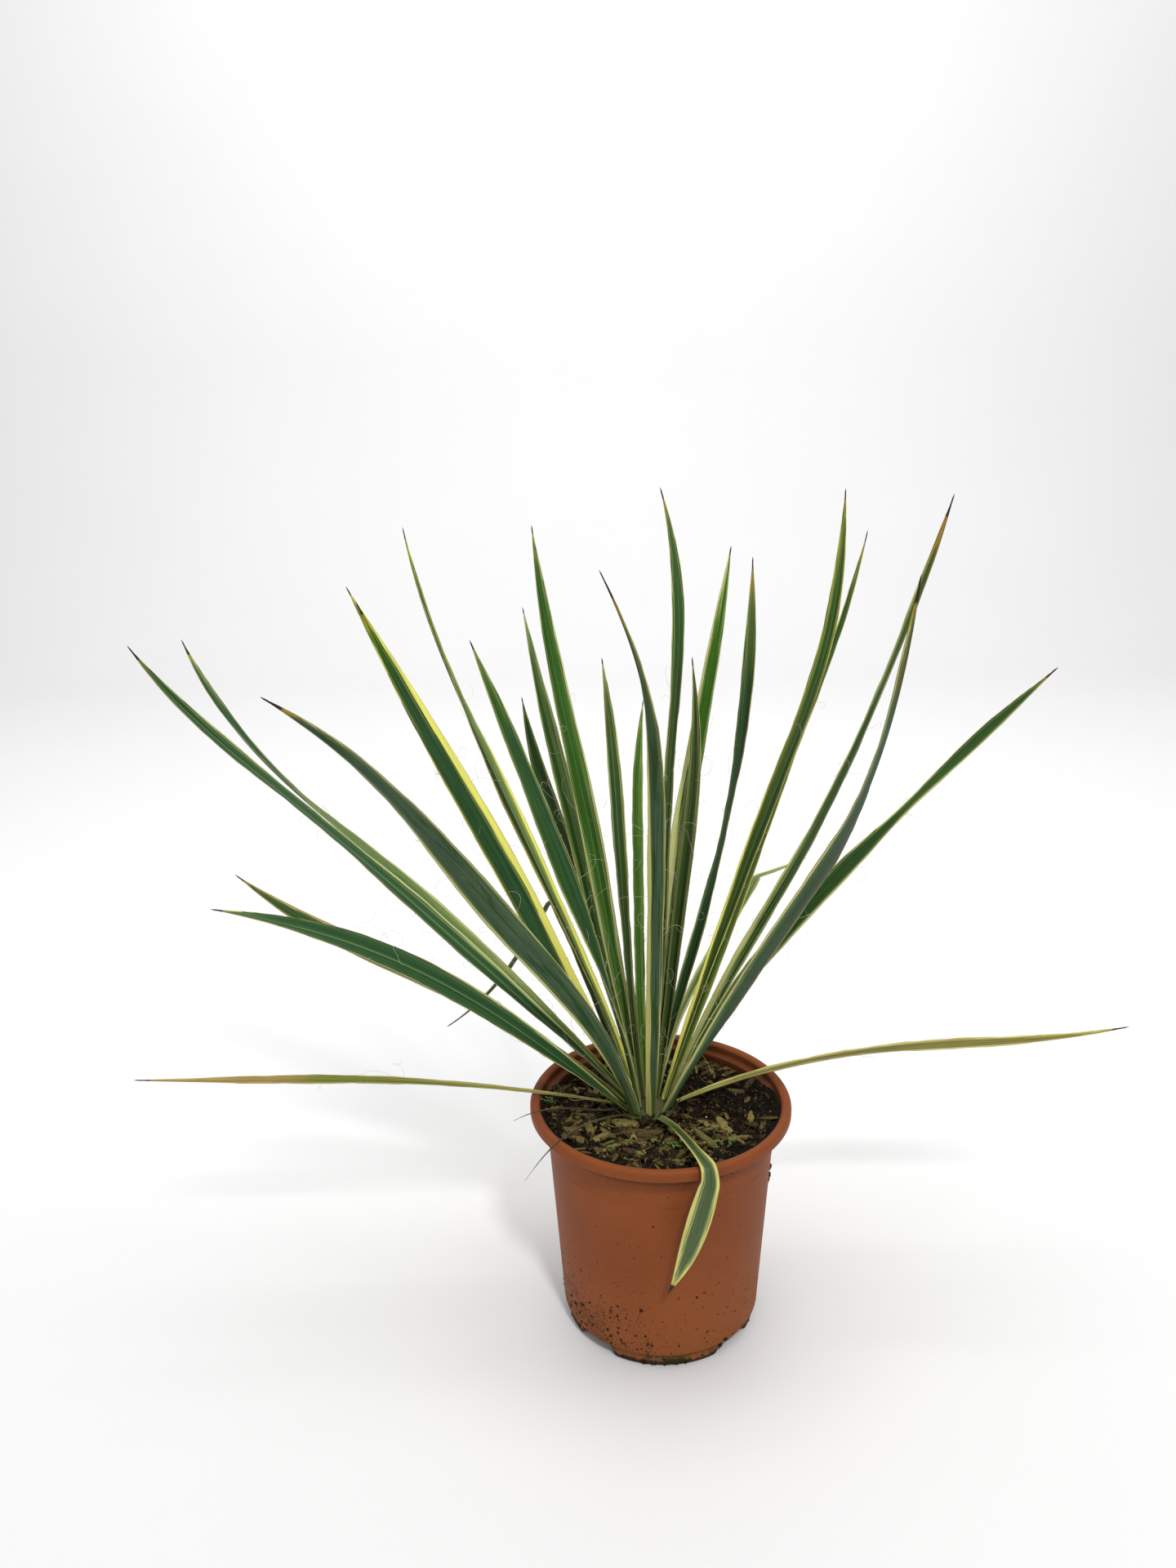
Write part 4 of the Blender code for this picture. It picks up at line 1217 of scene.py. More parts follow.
@dataclass(frozen=True)
class LeafFinish:
    """Waxy variegated blade: green middle, yellow margins, fine veins and a withered tip."""

    underside: Colour = (0.058, 0.092, 0.044)
    rubbed: Colour = (0.020, 0.055, 0.014)
    # Painted highlight along the central fold.
    midline: Colour = (0.32, 0.42, 0.17)
    rim: Colour = (0.20, 0.15, 0.07)
    foot: Colour = (0.150, 0.200, 0.045)
    scorch: tuple[Colour, Colour] = ((0.36, 0.26, 0.030), (0.270, 0.105, 0.018))
    spine: tuple[Colour, Colour] = ((0.020, 0.012, 0.010), (0.060, 0.038, 0.030))
    fleck: Colour = (0.30, 0.34, 0.20)
    thread: tuple[Colour, Colour] = ((0.62, 0.60, 0.46), (0.46, 0.40, 0.26))
    husk: tuple[Colour, Colour] = ((0.055, 0.042, 0.022), (0.190, 0.150, 0.080))
    husk_patch: Colour = (0.09, 0.075, 0.06)
    husk_tip: Colour = (0.035, 0.024, 0.018)

    def blade(self) -> bpy.types.Material:
        """The blade's material, read from the mesh's own signed distances.

        Returns:
            The material.
        """
        g = Graph("leaf_blade")
        flat = g.surface()
        vein = g.streaks(flat, (1500.0, 7.0, 1.0), 2.0, 0.6).step(0.30, 0.70)
        band = g.streaks(flat, (430.0, 4.0, 1.0), 2.0).step(0.28, 0.72)
        patch = g.noise(flat, 80.0, 3.0)
        across = abs(g.attribute("across"))
        past = g.attribute("past_margin")
        tint = g.attribute("green_tint", True)
        margin_tint = g.attribute("margin_tint", True)
        stripes = g.attribute("stripes")
        waver = 0.5 * (band - 0.5)

        # Green middle, paler below, darker where the bloom is rubbed off.
        green = g.blend(g.attribute("upper"), g.blend(0.35, tint, self.underside), tint)
        green = g.lit(green, 0.50 + 0.38 * vein + 0.30 * band + 0.32 * patch)
        rubbed = g.streaks(flat, (240.0, 16.0, 1.0), 4.0, 0.65).step(0.50, 0.60)
        green = g.blend(rubbed * g.attribute("bloom") * 0.9, green, self.rubbed)

        # Pale lines inside the margins.
        pale = g.blend(0.5, tint, margin_tint)
        near = (past + 3.0 * (band - 0.5)).step(-3.0, -0.2)
        line = (vein + waver).step(0.52, 0.66)
        green = g.blend((near * 0.85 + 0.05) * line * stripes, green, pale)
        inner = (past + waver).step(-1.35, -1.0) * (past + waver).step(-0.45, -0.75)
        green = g.blend(inner * stripes * 0.7, green, pale)

        # Margins, with green threads along their inner side.
        margin = g.lit(margin_tint, 0.84 + 0.24 * vein)
        edge_line = (past + 0.35 * (vein - 0.5) + waver).step(-0.12, 0.14)
        thread = (0.5 - vein + waver).step(0.10, 0.22) * past.step(1.8, 0.3)
        margin = g.blend(thread * stripes * 0.9, margin, g.lit(tint, 1.5 + 0.5 * band))
        colour = g.blend(edge_line, green, margin)

        # Midline, a painted highlight along the fold; dry rim and pale foot.
        ridge = (across + 0.03 * (vein - 0.5)).step(0.075, 0.03)
        colour = g.blend(ridge * g.attribute("midline") * 0.6, colour, self.midline)
        colour = g.blend(across.step(0.955, 0.985) * 0.6, colour, self.rim)
        foot = (g.attribute("from_foot") + 14.0 * (band - 0.5)).step(42.0, 4.0)
        colour = g.blend(foot * 0.4, colour, self.foot)

        # Scorched zone and brown tip.
        blotch = g.noise(flat, 70.0, 3.0)
        scorched = g.attribute("scorched") + 12.0 * (blotch - 0.55)
        burnt = g.lit(g.blend(scorched.step(6.0, 24.0), *self.scorch), 0.7 + 0.5 * vein)
        colour = g.blend(scorched.step(-7.0, 7.0) * 0.85, colour, burnt)
        withered = (g.attribute("withered") + 3.0 * (blotch - 0.5)).step(-1.0, 1.0)
        colour = g.blend(withered, colour, g.blend(vein, *self.spine))

        fleck = g.noise(flat, 420.0, 1.0)
        colour = g.blend(fleck.step(0.73, 0.77) * 0.25, colour, self.fleck)
        rough = 0.46 + 0.12 * vein + 0.12 * patch + 0.2 * withered
        return g.finish(colour, rough, vein * 0.6 + band * 0.6, 0.00025, 0.5, 0.12)

    def hair(self) -> bpy.types.Material:
        """Dry white thread, a little yellower in places."""
        g = Graph("leaf_hair")
        tone = g.noise(g.place(), 300.0, 1.0)
        return g.finish(g.blend(tone, *self.thread), 0.7)

    def dry(self) -> bpy.types.Material:
        """Shrivelled grey-brown leaf, streaked along its length.

        Returns:
            The material.
        """
        g = Graph("dry_leaf")
        flat = g.surface()
        vein = g.streaks(flat, (2800.0, 14.0, 1.0), 3.0)
        patch = g.noise(flat, 60.0, 3.0)
        colour = g.blend(vein.step(0.3, 0.7), *self.husk)
        colour = g.blend(patch.step(0.5, 0.75) * 0.5, colour, self.husk_patch)
        colour = g.blend(g.attribute("withered").step(-4.0, 2.0), colour, self.husk_tip)
        return g.finish(colour, 0.82, vein, 0.0004, 0.8, 0.2)


@dataclass
class Rosette:
    """All the leaves of the plant."""

    leaves: tuple[Leaf, ...] = LEAVES
    seed: int = 5

    def build(self) -> None:
        """Builds each blade with its hairs, in the table's order."""
        finish = LeafFinish()
        blade, hair, dry = finish.blade(), finish.hair(), finish.dry()
        for number, leaf in enumerate(self.leaves):
            tone = leaf.dress.tone
            maker = Blade(leaf, np.random.default_rng(self.seed + number))
            skin = maker.skin()
            hairs = maker.hairs()
            materials = [dry if tone is Tone.DRY else blade]
            if hairs is not None:
                skin = skin.joined(hairs, 1)
                materials.append(hair)
            piece = skin.build(f"fine_{leaf.name}", materials)
            settle(piece, OLD_SLOTS.get(tone, Slot.LEAF), leaf.name)


# Pot.


def rounded(profile: list[tuple[float, float]], radius: float, steps: int = 4) -> np.ndarray:
    """A profile with each inner corner replaced by a short quadratic curve.

    Each curve leaves the corner by at most radius, or by 0.45 of the shorter side.

    Args:
        profile: Corners as (radius, height) in mm.
        radius: Longest cut.
        steps: Points in each curve.

    Returns:
        The rounded profile.
    """
    corners = np.asarray(profile, float)
    before, at, after = corners[:-2], corners[1:-1], corners[2:]
    back = before - at
    on = after - at
    back_length = np.linalg.norm(back, axis=1, keepdims=True)
    on_length = np.linalg.norm(on, axis=1, keepdims=True)
    cut = np.minimum(radius, 0.45 * np.minimum(back_length, on_length))
    start = at + back / back_length * cut
    end = at + on / on_length * cut
    t = np.linspace(0.0, 1.0, steps)[None, :, None]
    curve = (1 - t) ** 2 * start[:, None] + 2 * t * (1 - t) * at[:, None] + t**2 * end[:, None]
    return np.vstack([corners[:1], curve.reshape(-1, 2), corners[-1:]])


def refined(profile: np.ndarray, longest: float) -> np.ndarray:
    """The profile with points added so that no side is longer than the given length.

    Args:
        profile: Points as (radius, height) in mm.
        longest: Longest side in mm.

    Returns:
        The finer profile.
    """
    pieces = [profile[:1]]
    for start, end in zip(profile[:-1], profile[1:]):
        count = max(math.ceil(np.linalg.norm(end - start) / longest), 1)
        pieces.append(start + (end - start) * (np.arange(1, count + 1) / count)[:, None])
    return np.vstack(pieces)


@dataclass(frozen=True)
class PotFinish:
    """Terracotta-coloured plastic with dust, soil specks, scuffs and painted shade."""

    plastic: tuple[Colour, Colour] = ((0.222, 0.055, 0.0120), (0.252, 0.066, 0.0160))
    lower: Colour = (0.290, 0.080, 0.0210)
    # The next two colours are painted shade: under the lip and over the feet, and inside.
    painted_shade: Colour = (0.050, 0.016, 0.006)
    inside: Colour = (0.060, 0.022, 0.008)
    film: Colour = (0.200, 0.092, 0.028)
    mud: tuple[Colour, Colour] = ((0.150, 0.070, 0.016), (0.085, 0.058, 0.014))
    scratch: Colour = (0.40, 0.20, 0.12)
    smudge: Colour = (0.15, 0.055, 0.018)
    soil: Colour = (0.020, 0.012, 0.007)
    speck_sizes: tuple[tuple[float, float], ...] = ((380.0, 0.35), (700.0, 0.9), (1200.0, 1.0))
    smudges: tuple[tuple[float, ...], ...] = (
        (0.0016, 0.1390, 0.0105, 0.0022), (0.0620, 0.0950, 0.0100, 0.0040)
    )

    def specks(self, g: Graph, place: Value, density: Value) -> Value:
        """Voronoi cells of three sizes whose own random number is under the density.

        Args:
            g: The material's graph.
            place: Object coordinates.
            density: Share of the cells that carry a speck.

        Returns:
            1 on a speck.
        """
        specks = []
        for size, share in self.speck_sizes:
            distance, dice = g.cells(place, size)
            ragged = distance + 0.9 * (g.noise(place, size * 2.4, 2.0) - 0.5)
            chosen = (density * share - g.parts(dice)[0]).step(0.0, 0.004)
            specks.append(chosen * ragged.step(0.46, 0.38))
        return sum(specks).clipped()

    def smudged(self, g: Graph, place: Value, colour: Value) -> Value:
        """The colour with the two oval smudges on the front of the wall.

        Args:
            g: The material's graph.
            place: Object coordinates.
            colour: The colour under them.

        Returns:
            The colour with them.
        """
        x, y, z = g.parts(place)
        front = y.step(-0.05, -0.06)
        for at_x, at_z, wide, high in self.smudges:
            round_x = (x - at_x) * (1.0 / wide)
            round_z = (z - at_z) * (1.0 / high)
            inside = 1.0 - round_x * round_x - round_z * round_z
            smudge = (inside + 1.4 * (g.noise(place, 260.0, 3.0) - 0.5)).step(0.2, 0.7) * front
            colour = g.blend(smudge * 0.5, colour, self.smudge)
        return colour

    def build(self) -> bpy.types.Material:
        """The plastic. Its specks grow denser downwards and towards the front left.

        Returns:
            The material.
        """
        g = Graph("pot_plastic")
        place = g.place()
        x, y, z = g.parts(place)
        cloud = g.noise(place, 14.0, 4.0)
        grain = g.noise(place, 900.0, 2.0)
        colour = g.blend(cloud.step(0.35, 0.7), *self.plastic)
        colour = g.blend(z.step(0.095, 0.020) * 0.6, colour, self.lower)
        colour = g.lit(colour, 0.93 + 0.14 * grain)

        # Painted shade under the lip, in a line over the feet, and on the inside of lip and wall.
        under_lip = z.step(0.1555, 0.1600) * z.step(0.1682, 0.1668)
        foot_line = z.step(0.0118, 0.0112) * z.step(0.0098, 0.0104)
        shade = (under_lip * 0.55 + foot_line * 0.6).clipped()
        colour = g.blend(shade, colour, self.painted_shade)
        far_out = x * x + y * y
        in_lip = far_out.step(0.0885**2, 0.0879**2) * z.step(0.1683, 0.1688)
        in_wall = far_out.step(0.0828**2, 0.0824**2) * z.step(0.158, 0.160)
        colour = g.blend((in_lip + in_wall).clipped() * 0.58, colour, self.inside)

        # Specks of soil.
        low = z.step(0.100, 0.004)
        left = (x * -0.85 - y * 0.40).step(0.020, 0.078)
        clump = g.noise(place, 60.0, 2.0).step(0.42, 0.66)
        density = 0.008 + low * (0.015 + 0.035 * clump) + low * low * left * (0.15 + 0.45 * clump)
        soil = self.specks(g, place, density) * z.step(0.1755, 0.170)

        # Film of mud low down, thick on the feet and caked at their ends.
        mud = g.noise(place, 55.0, 4.0, 0.6)
        film = (mud + low * 0.15).step(0.45, 0.80) * low
        colour = g.blend(film * 0.35, colour, self.film)
        on_foot = z.step(0.0112, 0.0096)
        colour = g.blend(on_foot * mud.step(0.36, 0.52) * 0.85, colour, self.mud[0])
        colour = g.blend(on_foot * mud.step(0.50, 0.60) * 0.8, colour, self.mud[1])
        caked = mud * 0.7 + 0.3 * g.noise(place, 320.0, 3.0) + z.step(0.0075, 0.0) * 0.32
        caked = caked.step(0.60, 0.66) * z.step(0.0100, 0.0030)

        # Scratches round the pot and up it.
        scratch = g.streaks(place, (60.0, 60.0, 700.0), 2.0).step(0.70, 0.76)
        scratch_up = g.streaks(place, (800.0, 800.0, 40.0), 2.0).step(0.74, 0.79)
        colour = g.blend((scratch + scratch_up).clipped() * 0.16, colour, self.scratch)
        colour = self.smudged(g, place, colour)
        colour = g.blend((soil + caked).clipped() * 0.92, colour, self.soil)
        rough = 0.45 + 0.12 * cloud + 0.08 * grain + 0.2 * film + 0.35 * soil
        height = grain * 0.3 + soil * 1.2 + scratch * 0.2
        return g.finish(colour, rough, height, 0.00025, 0.35, 0.16)


@dataclass
class NurseryPot:
    """Thin moulded pot on four feet, with a hollow rolled lip and a faint line under it."""

    sides: int = 384
    mould_line: float = 139.5
    mould_relief: tuple[float, float] = (0.2, 0.45)
    lip_groove: float = 171.4
    groove_relief: tuple[float, float] = (0.5, 0.7)
    notch_slope: float = 7.0
    boss_radius: float = 14.0
    corner_radius: float = 0.9
    longest_side: float = 3.0
    sharp: float = 42.0

    def wall_radius(self, height: float | np.ndarray) -> float | np.ndarray:
        """Outer radius of the tapered wall at a height."""
        share = (height - FLOOR_HEIGHT) / (LEDGE_HEIGHT - WALL - FLOOR_HEIGHT)
        return WALL_FOOT_RADIUS + share * (WALL_TOP_RADIUS - WALL_FOOT_RADIUS)

    def bore_radius(self, height: float) -> float:
        """Inner radius of the wall at a height."""
        return self.wall_radius(height) - WALL

    def corners(self) -> list[tuple[float, float]]:
        """Corners of the half section: the underside, up the outside and down the inside.

        Returns:
            Radius and height of each in mm.
        """
        boss = self.boss_radius
        under = LEDGE_HEIGHT - WALL
        lip_foot = POT_HEIGHT - LIP_HEIGHT
        return [
            # Centre boss, hollow under the floor, and the foot.
            (0.0, 0.0), (boss, 0.0), (boss, FLOOR_HEIGHT),
            (FOOT_INNER, FLOOR_HEIGHT), (FOOT_INNER, 0.0),
            (FOOT_RADIUS - 0.6, 0.0), (FOOT_RADIUS, 0.8), (FOOT_RADIUS + 0.4, FLOOR_HEIGHT),
            # Wall.
            (WALL_FOOT_RADIUS - 0.7, FLOOR_HEIGHT), (WALL_FOOT_RADIUS, FLOOR_HEIGHT + 1.0),
            (WALL_TOP_RADIUS, under),
            # Hollow under the lip, and the lip.
            (RIM_INNER + 1.2, under), (RIM_INNER + 1.8, POT_HEIGHT - 1.8),
            (RIM_RADIUS - 1.8, POT_HEIGHT - 1.8), (RIM_RADIUS - 1.5, lip_foot + 0.4),
            (RIM_RADIUS - 0.6, lip_foot), (RIM_RADIUS, lip_foot + 0.8),
            (RIM_RADIUS, POT_HEIGHT - 2.4), (RIM_RADIUS - 1.2, POT_HEIGHT - 0.3),
            (RIM_RADIUS - 3.4, POT_HEIGHT), (RIM_INNER + 1.6, POT_HEIGHT - 0.5),
            (RIM_INNER, POT_HEIGHT - 2.0),
            # Ledge, bore and floor.
            (RIM_INNER - 0.4, LEDGE_HEIGHT), (WALL_TOP_RADIUS - 1.0, LEDGE_HEIGHT),
            (self.bore_radius(under), LEDGE_HEIGHT - 0.7),
            (self.bore_radius(FLOOR_TOP), FLOOR_TOP), (0.0, FLOOR_TOP),
        ]

    def profile(self) -> np.ndarray:
        """The half section with round corners, and closer points at the mould line.

        Returns:
            Points as (radius, height) in mm.
        """
        fine = refined(rounded(self.corners(), self.corner_radius), self.longest_side)
        near = self.mould_line + np.linspace(-1.4, 1.4, 13)
        line = np.stack([self.wall_radius(near), near], axis=-1)
        outer = np.flatnonzero(np.abs(fine[:, 0] - self.wall_radius(fine[:, 1])) < 0.02)
        start = outer[fine[outer, 1] < near[0]][-1] + 1
        end = outer[fine[outer, 1] > near[-1]][0]
        return np.vstack([fine[:start], line, fine[end:]])

    def relief(self, height: np.ndarray, middle: float, size: float, width: float) -> np.ndarray:
        """A bell curve up the wall: size times exp(-((height - middle) / width)²)."""
        return size * np.exp(-(((height - middle) / width) ** 2))

    def skin(self) -> Skin:
        """The pot's closed skin: the profile turned round, its feet cut by two crossed notches.

        A point under the floor between the foot's radii is raised to the floor where its
        distance from either diagonal is under half the notch. The wall and lip are out of
        round by two low waves.

        Returns:
            The skin.
        """
        profile = self.profile()[1:-1]
        radius, height = profile[:, 0].copy(), profile[:, 1].copy()
        outside = np.arange(len(height)) < np.argmax(height)
        wall = outside & (height > FLOOR_HEIGHT + 2) & (height < LEDGE_HEIGHT - WALL)
        radius += wall * self.relief(height, self.mould_line, *self.mould_relief)
        lip = outside & (radius > RIM_RADIUS - 0.3)
        radius -= lip * self.relief(height, self.lip_groove, *self.groove_relief)
        angle = np.linspace(0.0, math.tau, self.sides, endpoint=False)
        sag = 0.14 * np.sin(2 * angle + 0.6) + 0.08 * np.sin(3 * angle + 2.0)
        free = smooth_step((height - 20.0) / 120.0)[:, None] * (radius > 60.0)[:, None]
        place = radius[:, None] + sag * free
        x = place * np.cos(angle)
        y = place * np.sin(angle)
        aside = np.minimum(np.abs(x - y), np.abs(x + y)) / math.sqrt(2.0)
        foot = smooth_step((aside - 0.5 * NOTCH + 1.0) / self.notch_slope)
        low = (outside & (height < FLOOR_HEIGHT) & (radius > 20.0))[:, None]
        level = height[:, None]
        z = np.where(low, level + (1.0 - foot) * (FLOOR_HEIGHT - level), level)
        points, faces = closed_loft(np.stack([x, y, z], axis=-1))
        points[-2] = (0.0, 0.0, 0.0)
        points[-1] = (0.0, 0.0, FLOOR_TOP)
        return Skin(points, faces)

    def build(self) -> None:
        """Builds the pot."""
        piece = self.skin().build("nursery_pot", [PotFinish().build()], self.sharp)
        settle(piece, Slot.POT, "pot")


# Potting mix.


def heap_share(angle: np.ndarray) -> np.ndarray:
    """1 where the soil is heaped over the ledge, at the front and sides, and 0 round the back."""
    from_back = np.abs((np.degrees(angle) - 90.0 + 180.0) % 360.0 - 180.0)
    return np.clip((from_back - HEAP_FROM) / HEAP_RISE, 0.0, 1.0)


def soil_rim(heap: np.ndarray) -> tuple[tuple[np.ndarray, np.ndarray], ...]:
    """Three points up the soil's edge, up the bore first and then out over the ledge.

    Args:
        heap: Share of the heap at each angle.

    Returns:
        Radius and height in mm of each of the three.
    """
    up = np.clip(2.0 * heap, 0.0, 1.0)
    out = smooth_step(2.0 * heap - 1.0)
    bore = NurseryPot().bore_radius(SOIL_LEVEL) - 1.6 * GAP
    ledge = RIM_INNER - 0.4 - GAP
    start = SOIL_LEVEL - 1.5
    climb = LEDGE_HEIGHT + GAP - start
    return (
        (bore + 0.0 * heap, start + up * climb),
        (bore + out * (ledge - bore), start + 1.0 + up * (climb - 0.7) - 0.3 * out),
        (bore + out * (ledge - 0.3 - bore), start + 2.4 + up * (SOIL_HEAP - 0.1)),
    )


def soil_top(x: np.ndarray, y: np.ndarray, heap: np.ndarray, inward: np.ndarray) -> np.ndarray:
    """Height of the mix: level near the crown, rising to a heaped edge, with low waves.

    Args:
        x: X in mm.
        y: Y in mm.
        heap: Share of the heap at each point's angle.
        inward: Share of the way from the crown to the edge.

    Returns:
        The height in mm.
    """
    rise = SOIL_HEAP * smooth_step(heap) * smooth_step(1.15 * inward) ** 1.5
    lump = np.sin(0.31 * x + 1.3) * np.sin(0.27 * y + 0.4) + 0.6 * np.sin(0.53 * x - 0.47 * y)
    ends = smooth_step(4.0 * inward), smooth_step(5.0 - 5.0 * inward)
    return SOIL_LEVEL + rise + SOIL_WAVES * lump * ends[0] * ends[1]


def soil_height(x: np.ndarray, y: np.ndarray) -> np.ndarray:
    """Height of the mix under points, found along the line out from the crown.

    Args:
        x: X in mm.
        y: Y in mm.

    Returns:
        The height in mm.
    """
    angle = np.arctan2(y - CROWN_Y, x - CROWN_X)
    heap = heap_share(angle)
    distance = np.hypot(x - CROWN_X, y - CROWN_Y) - CROWN_HOLE
    turn = angle - math.atan2(CROWN_Y, CROWN_X)
    edge = soil_rim(heap)[2][0] - math.hypot(CROWN_X, CROWN_Y) * np.cos(turn)
    inward = np.clip(distance / (edge - CROWN_HOLE), 0.0, 1.0)
    return soil_top(x, y, heap, inward)


def turns(yaw: np.ndarray, pitch: np.ndarray, roll: np.ndarray) -> np.ndarray:
    """Rotation matrices that roll about X, pitch about Y and then yaw about Z.

    Args:
        yaw: Angles about Z in radians.
        pitch: Angles about Y.
        roll: Angles about X.

    Returns:
        Matrices shaped (shapes, 3, 3).
    """
    zero, one = np.zeros_like(yaw), np.ones_like(yaw)
    cy, cp, cr = np.cos([yaw, pitch, roll])
    sy, sp, sr = np.sin([yaw, pitch, roll])
    about_z = np.array([[cy, -sy, zero], [sy, cy, zero], [zero, zero, one]])
    about_y = np.array([[cp, zero, sp], [zero, one, zero], [-sp, zero, cp]])
    about_x = np.array([[one, zero, zero], [zero, cr, -sr], [zero, sr, cr]])
    return np.einsum("abk,bck,cdk->kad", about_z, about_y, about_x)


def placed(rings: np.ndarray, turn: np.ndarray, centre: np.ndarray) -> np.ndarray:
    """Rings of many shapes turned by their matrices and moved to their centres."""
    return np.einsum("kab,krnb->krna", turn, rings) + centre[:, None, None]


def lump_rings(
    rng: np.random.Generator,
    count: int,
    ring: np.ndarray,
    steps: Sequence[tuple[float, tuple[float, float, float]]],
    least: float,
    most: float,
) -> np.ndarray:
    """Uneven rings of small lumps, before they are scaled and placed."""
    rings = np.stack([ring * share + np.array(shift) for share, shift in steps])[None]
    return rings * rng.uniform(least, most, (count, *rings.shape[1:3], 1))


def shaded(points: np.ndarray, faces: np.ndarray, shade: np.ndarray, grain: np.ndarray) -> Skin:
    """A skin of many shapes of one size, each with its own shade and place in the grain.

    Args:
        points: Points of all the shapes, in mm.
        faces: Their triangles.
        shade: A number for each shape.
        grain: Two numbers for each shape.

    Returns:
        The skin.
    """
    each = len(points) // len(shade)
    values = {"shade": np.repeat(shade, each)}
    return Skin(points, faces, values, flat=np.repeat(grain, each, axis=0))


@dataclass
class Chips:
    """A scatter of bark chips: long slabs with ragged outlines and rounded faces."""

    rng: np.random.Generator
    around: int = 10
    ring_shares: tuple[float, ...] = (0.88, 1.0, 1.0, 0.90)
    ring_heights: tuple[float, ...] = (-0.5, -0.2, 0.25, 0.5)

    def rings(self, length: np.ndarray, width: np.ndarray, thick: np.ndarray) -> np.ndarray:
        """Slabs lying flat.

        The outline is a superellipse |x|⁴ + |y|⁴ = 1 with each point pulled in or out by a
        seeded share, most at the ends, and sheared so that the ends are cut slantwise. Four
        rings step it in at the faces.

        Args:
            length: Lengths in mm.
            width: Widths in mm.
            thick: Thicknesses in mm.

        Returns:
            Points shaped (chips, 4, around, 3).
        """
        rng, count = self.rng, len(length)
        length, width, thick = length[:, None], width[:, None], thick[:, None, None]
        turn = math.tau * (np.arange(self.around) + 0.5) / self.around
        size = (np.abs(np.cos(turn)) ** 4 + np.abs(np.sin(turn)) ** 4) ** (-1 / 4)
        ragged = 0.10 + 0.30 * np.abs(np.cos(turn)) ** 3
        pull = (1.0 - ragged * rng.uniform(0.0, 1.6, (count, self.around))) * size
        x = 0.5 * length * pull * np.cos(turn)
        squeeze = 1.0 - 0.2 * rng.uniform(0.0, 1.0, (count, self.around))
        y = 0.5 * width * squeeze * size * np.sin(turn)
        x = x + rng.uniform(-1.1, 1.1, (count, 1)) * y
        y = y + 0.07 * width * np.sin(3.0 * x / length + rng.uniform(0, 6, (count, 1)))
        shares = np.array(self.ring_shares)[None, :, None]
        heights = np.array(self.ring_heights)[None, :, None] * thick
        rough = rng.uniform(-0.10, 0.10, (count, len(self.ring_shares), self.around)) * thick
        return np.stack([x[:, None] * shares, y[:, None] * shares, heights + rough], axis=-1)


@dataclass(frozen=True)
class MixFinish:
    """Damp peat, weathered bark, chalky grains and tender seedlings."""

    peat_dark: tuple[Colour, Colour] = ((0.0030, 0.0020, 0.0014), (0.018, 0.011, 0.006))
    peat_clump: Colour = (0.045, 0.030, 0.013)
    bark_stops: tuple[tuple[float, Colour], ...] = (
        (0.0, (0.008, 0.005, 0.003)),
        (0.25, (0.032, 0.020, 0.008)),
        (0.42, (0.100, 0.066, 0.022)),
        (0.64, (0.180, 0.142, 0.038)),
        (1.0, (0.360, 0.290, 0.100)),
    )
    bark_crack: Colour = (0.010, 0.007, 0.004)
    chalk: tuple[Colour, Colour] = ((0.30, 0.29, 0.25), (0.72, 0.71, 0.66))
    leaf: tuple[Colour, Colour] = ((0.045, 0.115, 0.012), (0.110, 0.215, 0.030))

    def peat(self) -> bpy.types.Material:
        """Damp dark peat, almost black in its hollows.

        Returns:
            The material.
        """
        g = Graph("peat")
        place = g.place()
        fine = g.noise(place, 900.0, 4.0, 0.65)
        clump = g.noise(place, 130.0, 3.0)
        colour = g.blend(fine.step(0.35, 0.75), *self.peat_dark)
        colour = g.blend(clump.step(0.5, 0.75) * fine.step(0.5, 0.7), colour, self.peat_clump)
        return g.finish(colour, 0.9 - 0.15 * clump, fine + clump, 0.0012, 0.9, 0.12)

    def bark(self) -> bpy.types.Material:
        """Weathered bark, near black through brown to olive and tan, grained lengthwise.

        Returns:
            The material.
        """
        g = Graph("bark_chip")
        grain = g.streaks(g.surface(), (260.0, 2100.0, 1.0), 3.0, 0.6)
        patch = g.noise(g.place(), 240.0, 3.0)
        reading = g.attribute("shade") * 0.78 + 0.34 * (patch - 0.5) + 0.12
        colour = g.lit(g.ramp(reading, self.bark_stops), grain.step(0.28, 0.72) * 1.05 + 0.30)
        crack = (grain + 0.3 * (patch - 0.5)).step(0.36, 0.28)
        colour = g.blend(crack * 0.7, colour, self.bark_crack)
        return g.finish(colour, 0.86, grain + 0.5 * patch, 0.0007, 0.9, 0.15)

    def white(self) -> bpy.types.Material:
        """Chalky expanded grain."""
        g = Graph("white_grain")
        pit = g.noise(g.place(), 1400.0, 3.0)
        return g.finish(g.blend(pit, *self.chalk), 0.9, pit, 0.0004, 0.8, 0.3)

    def sprout(self) -> bpy.types.Material:
        """Tender light green."""
        g = Graph("seedling")
        tone = g.noise(g.place(), 600.0, 2.0)
        return g.finish(g.blend(tone, *self.leaf), 0.5)


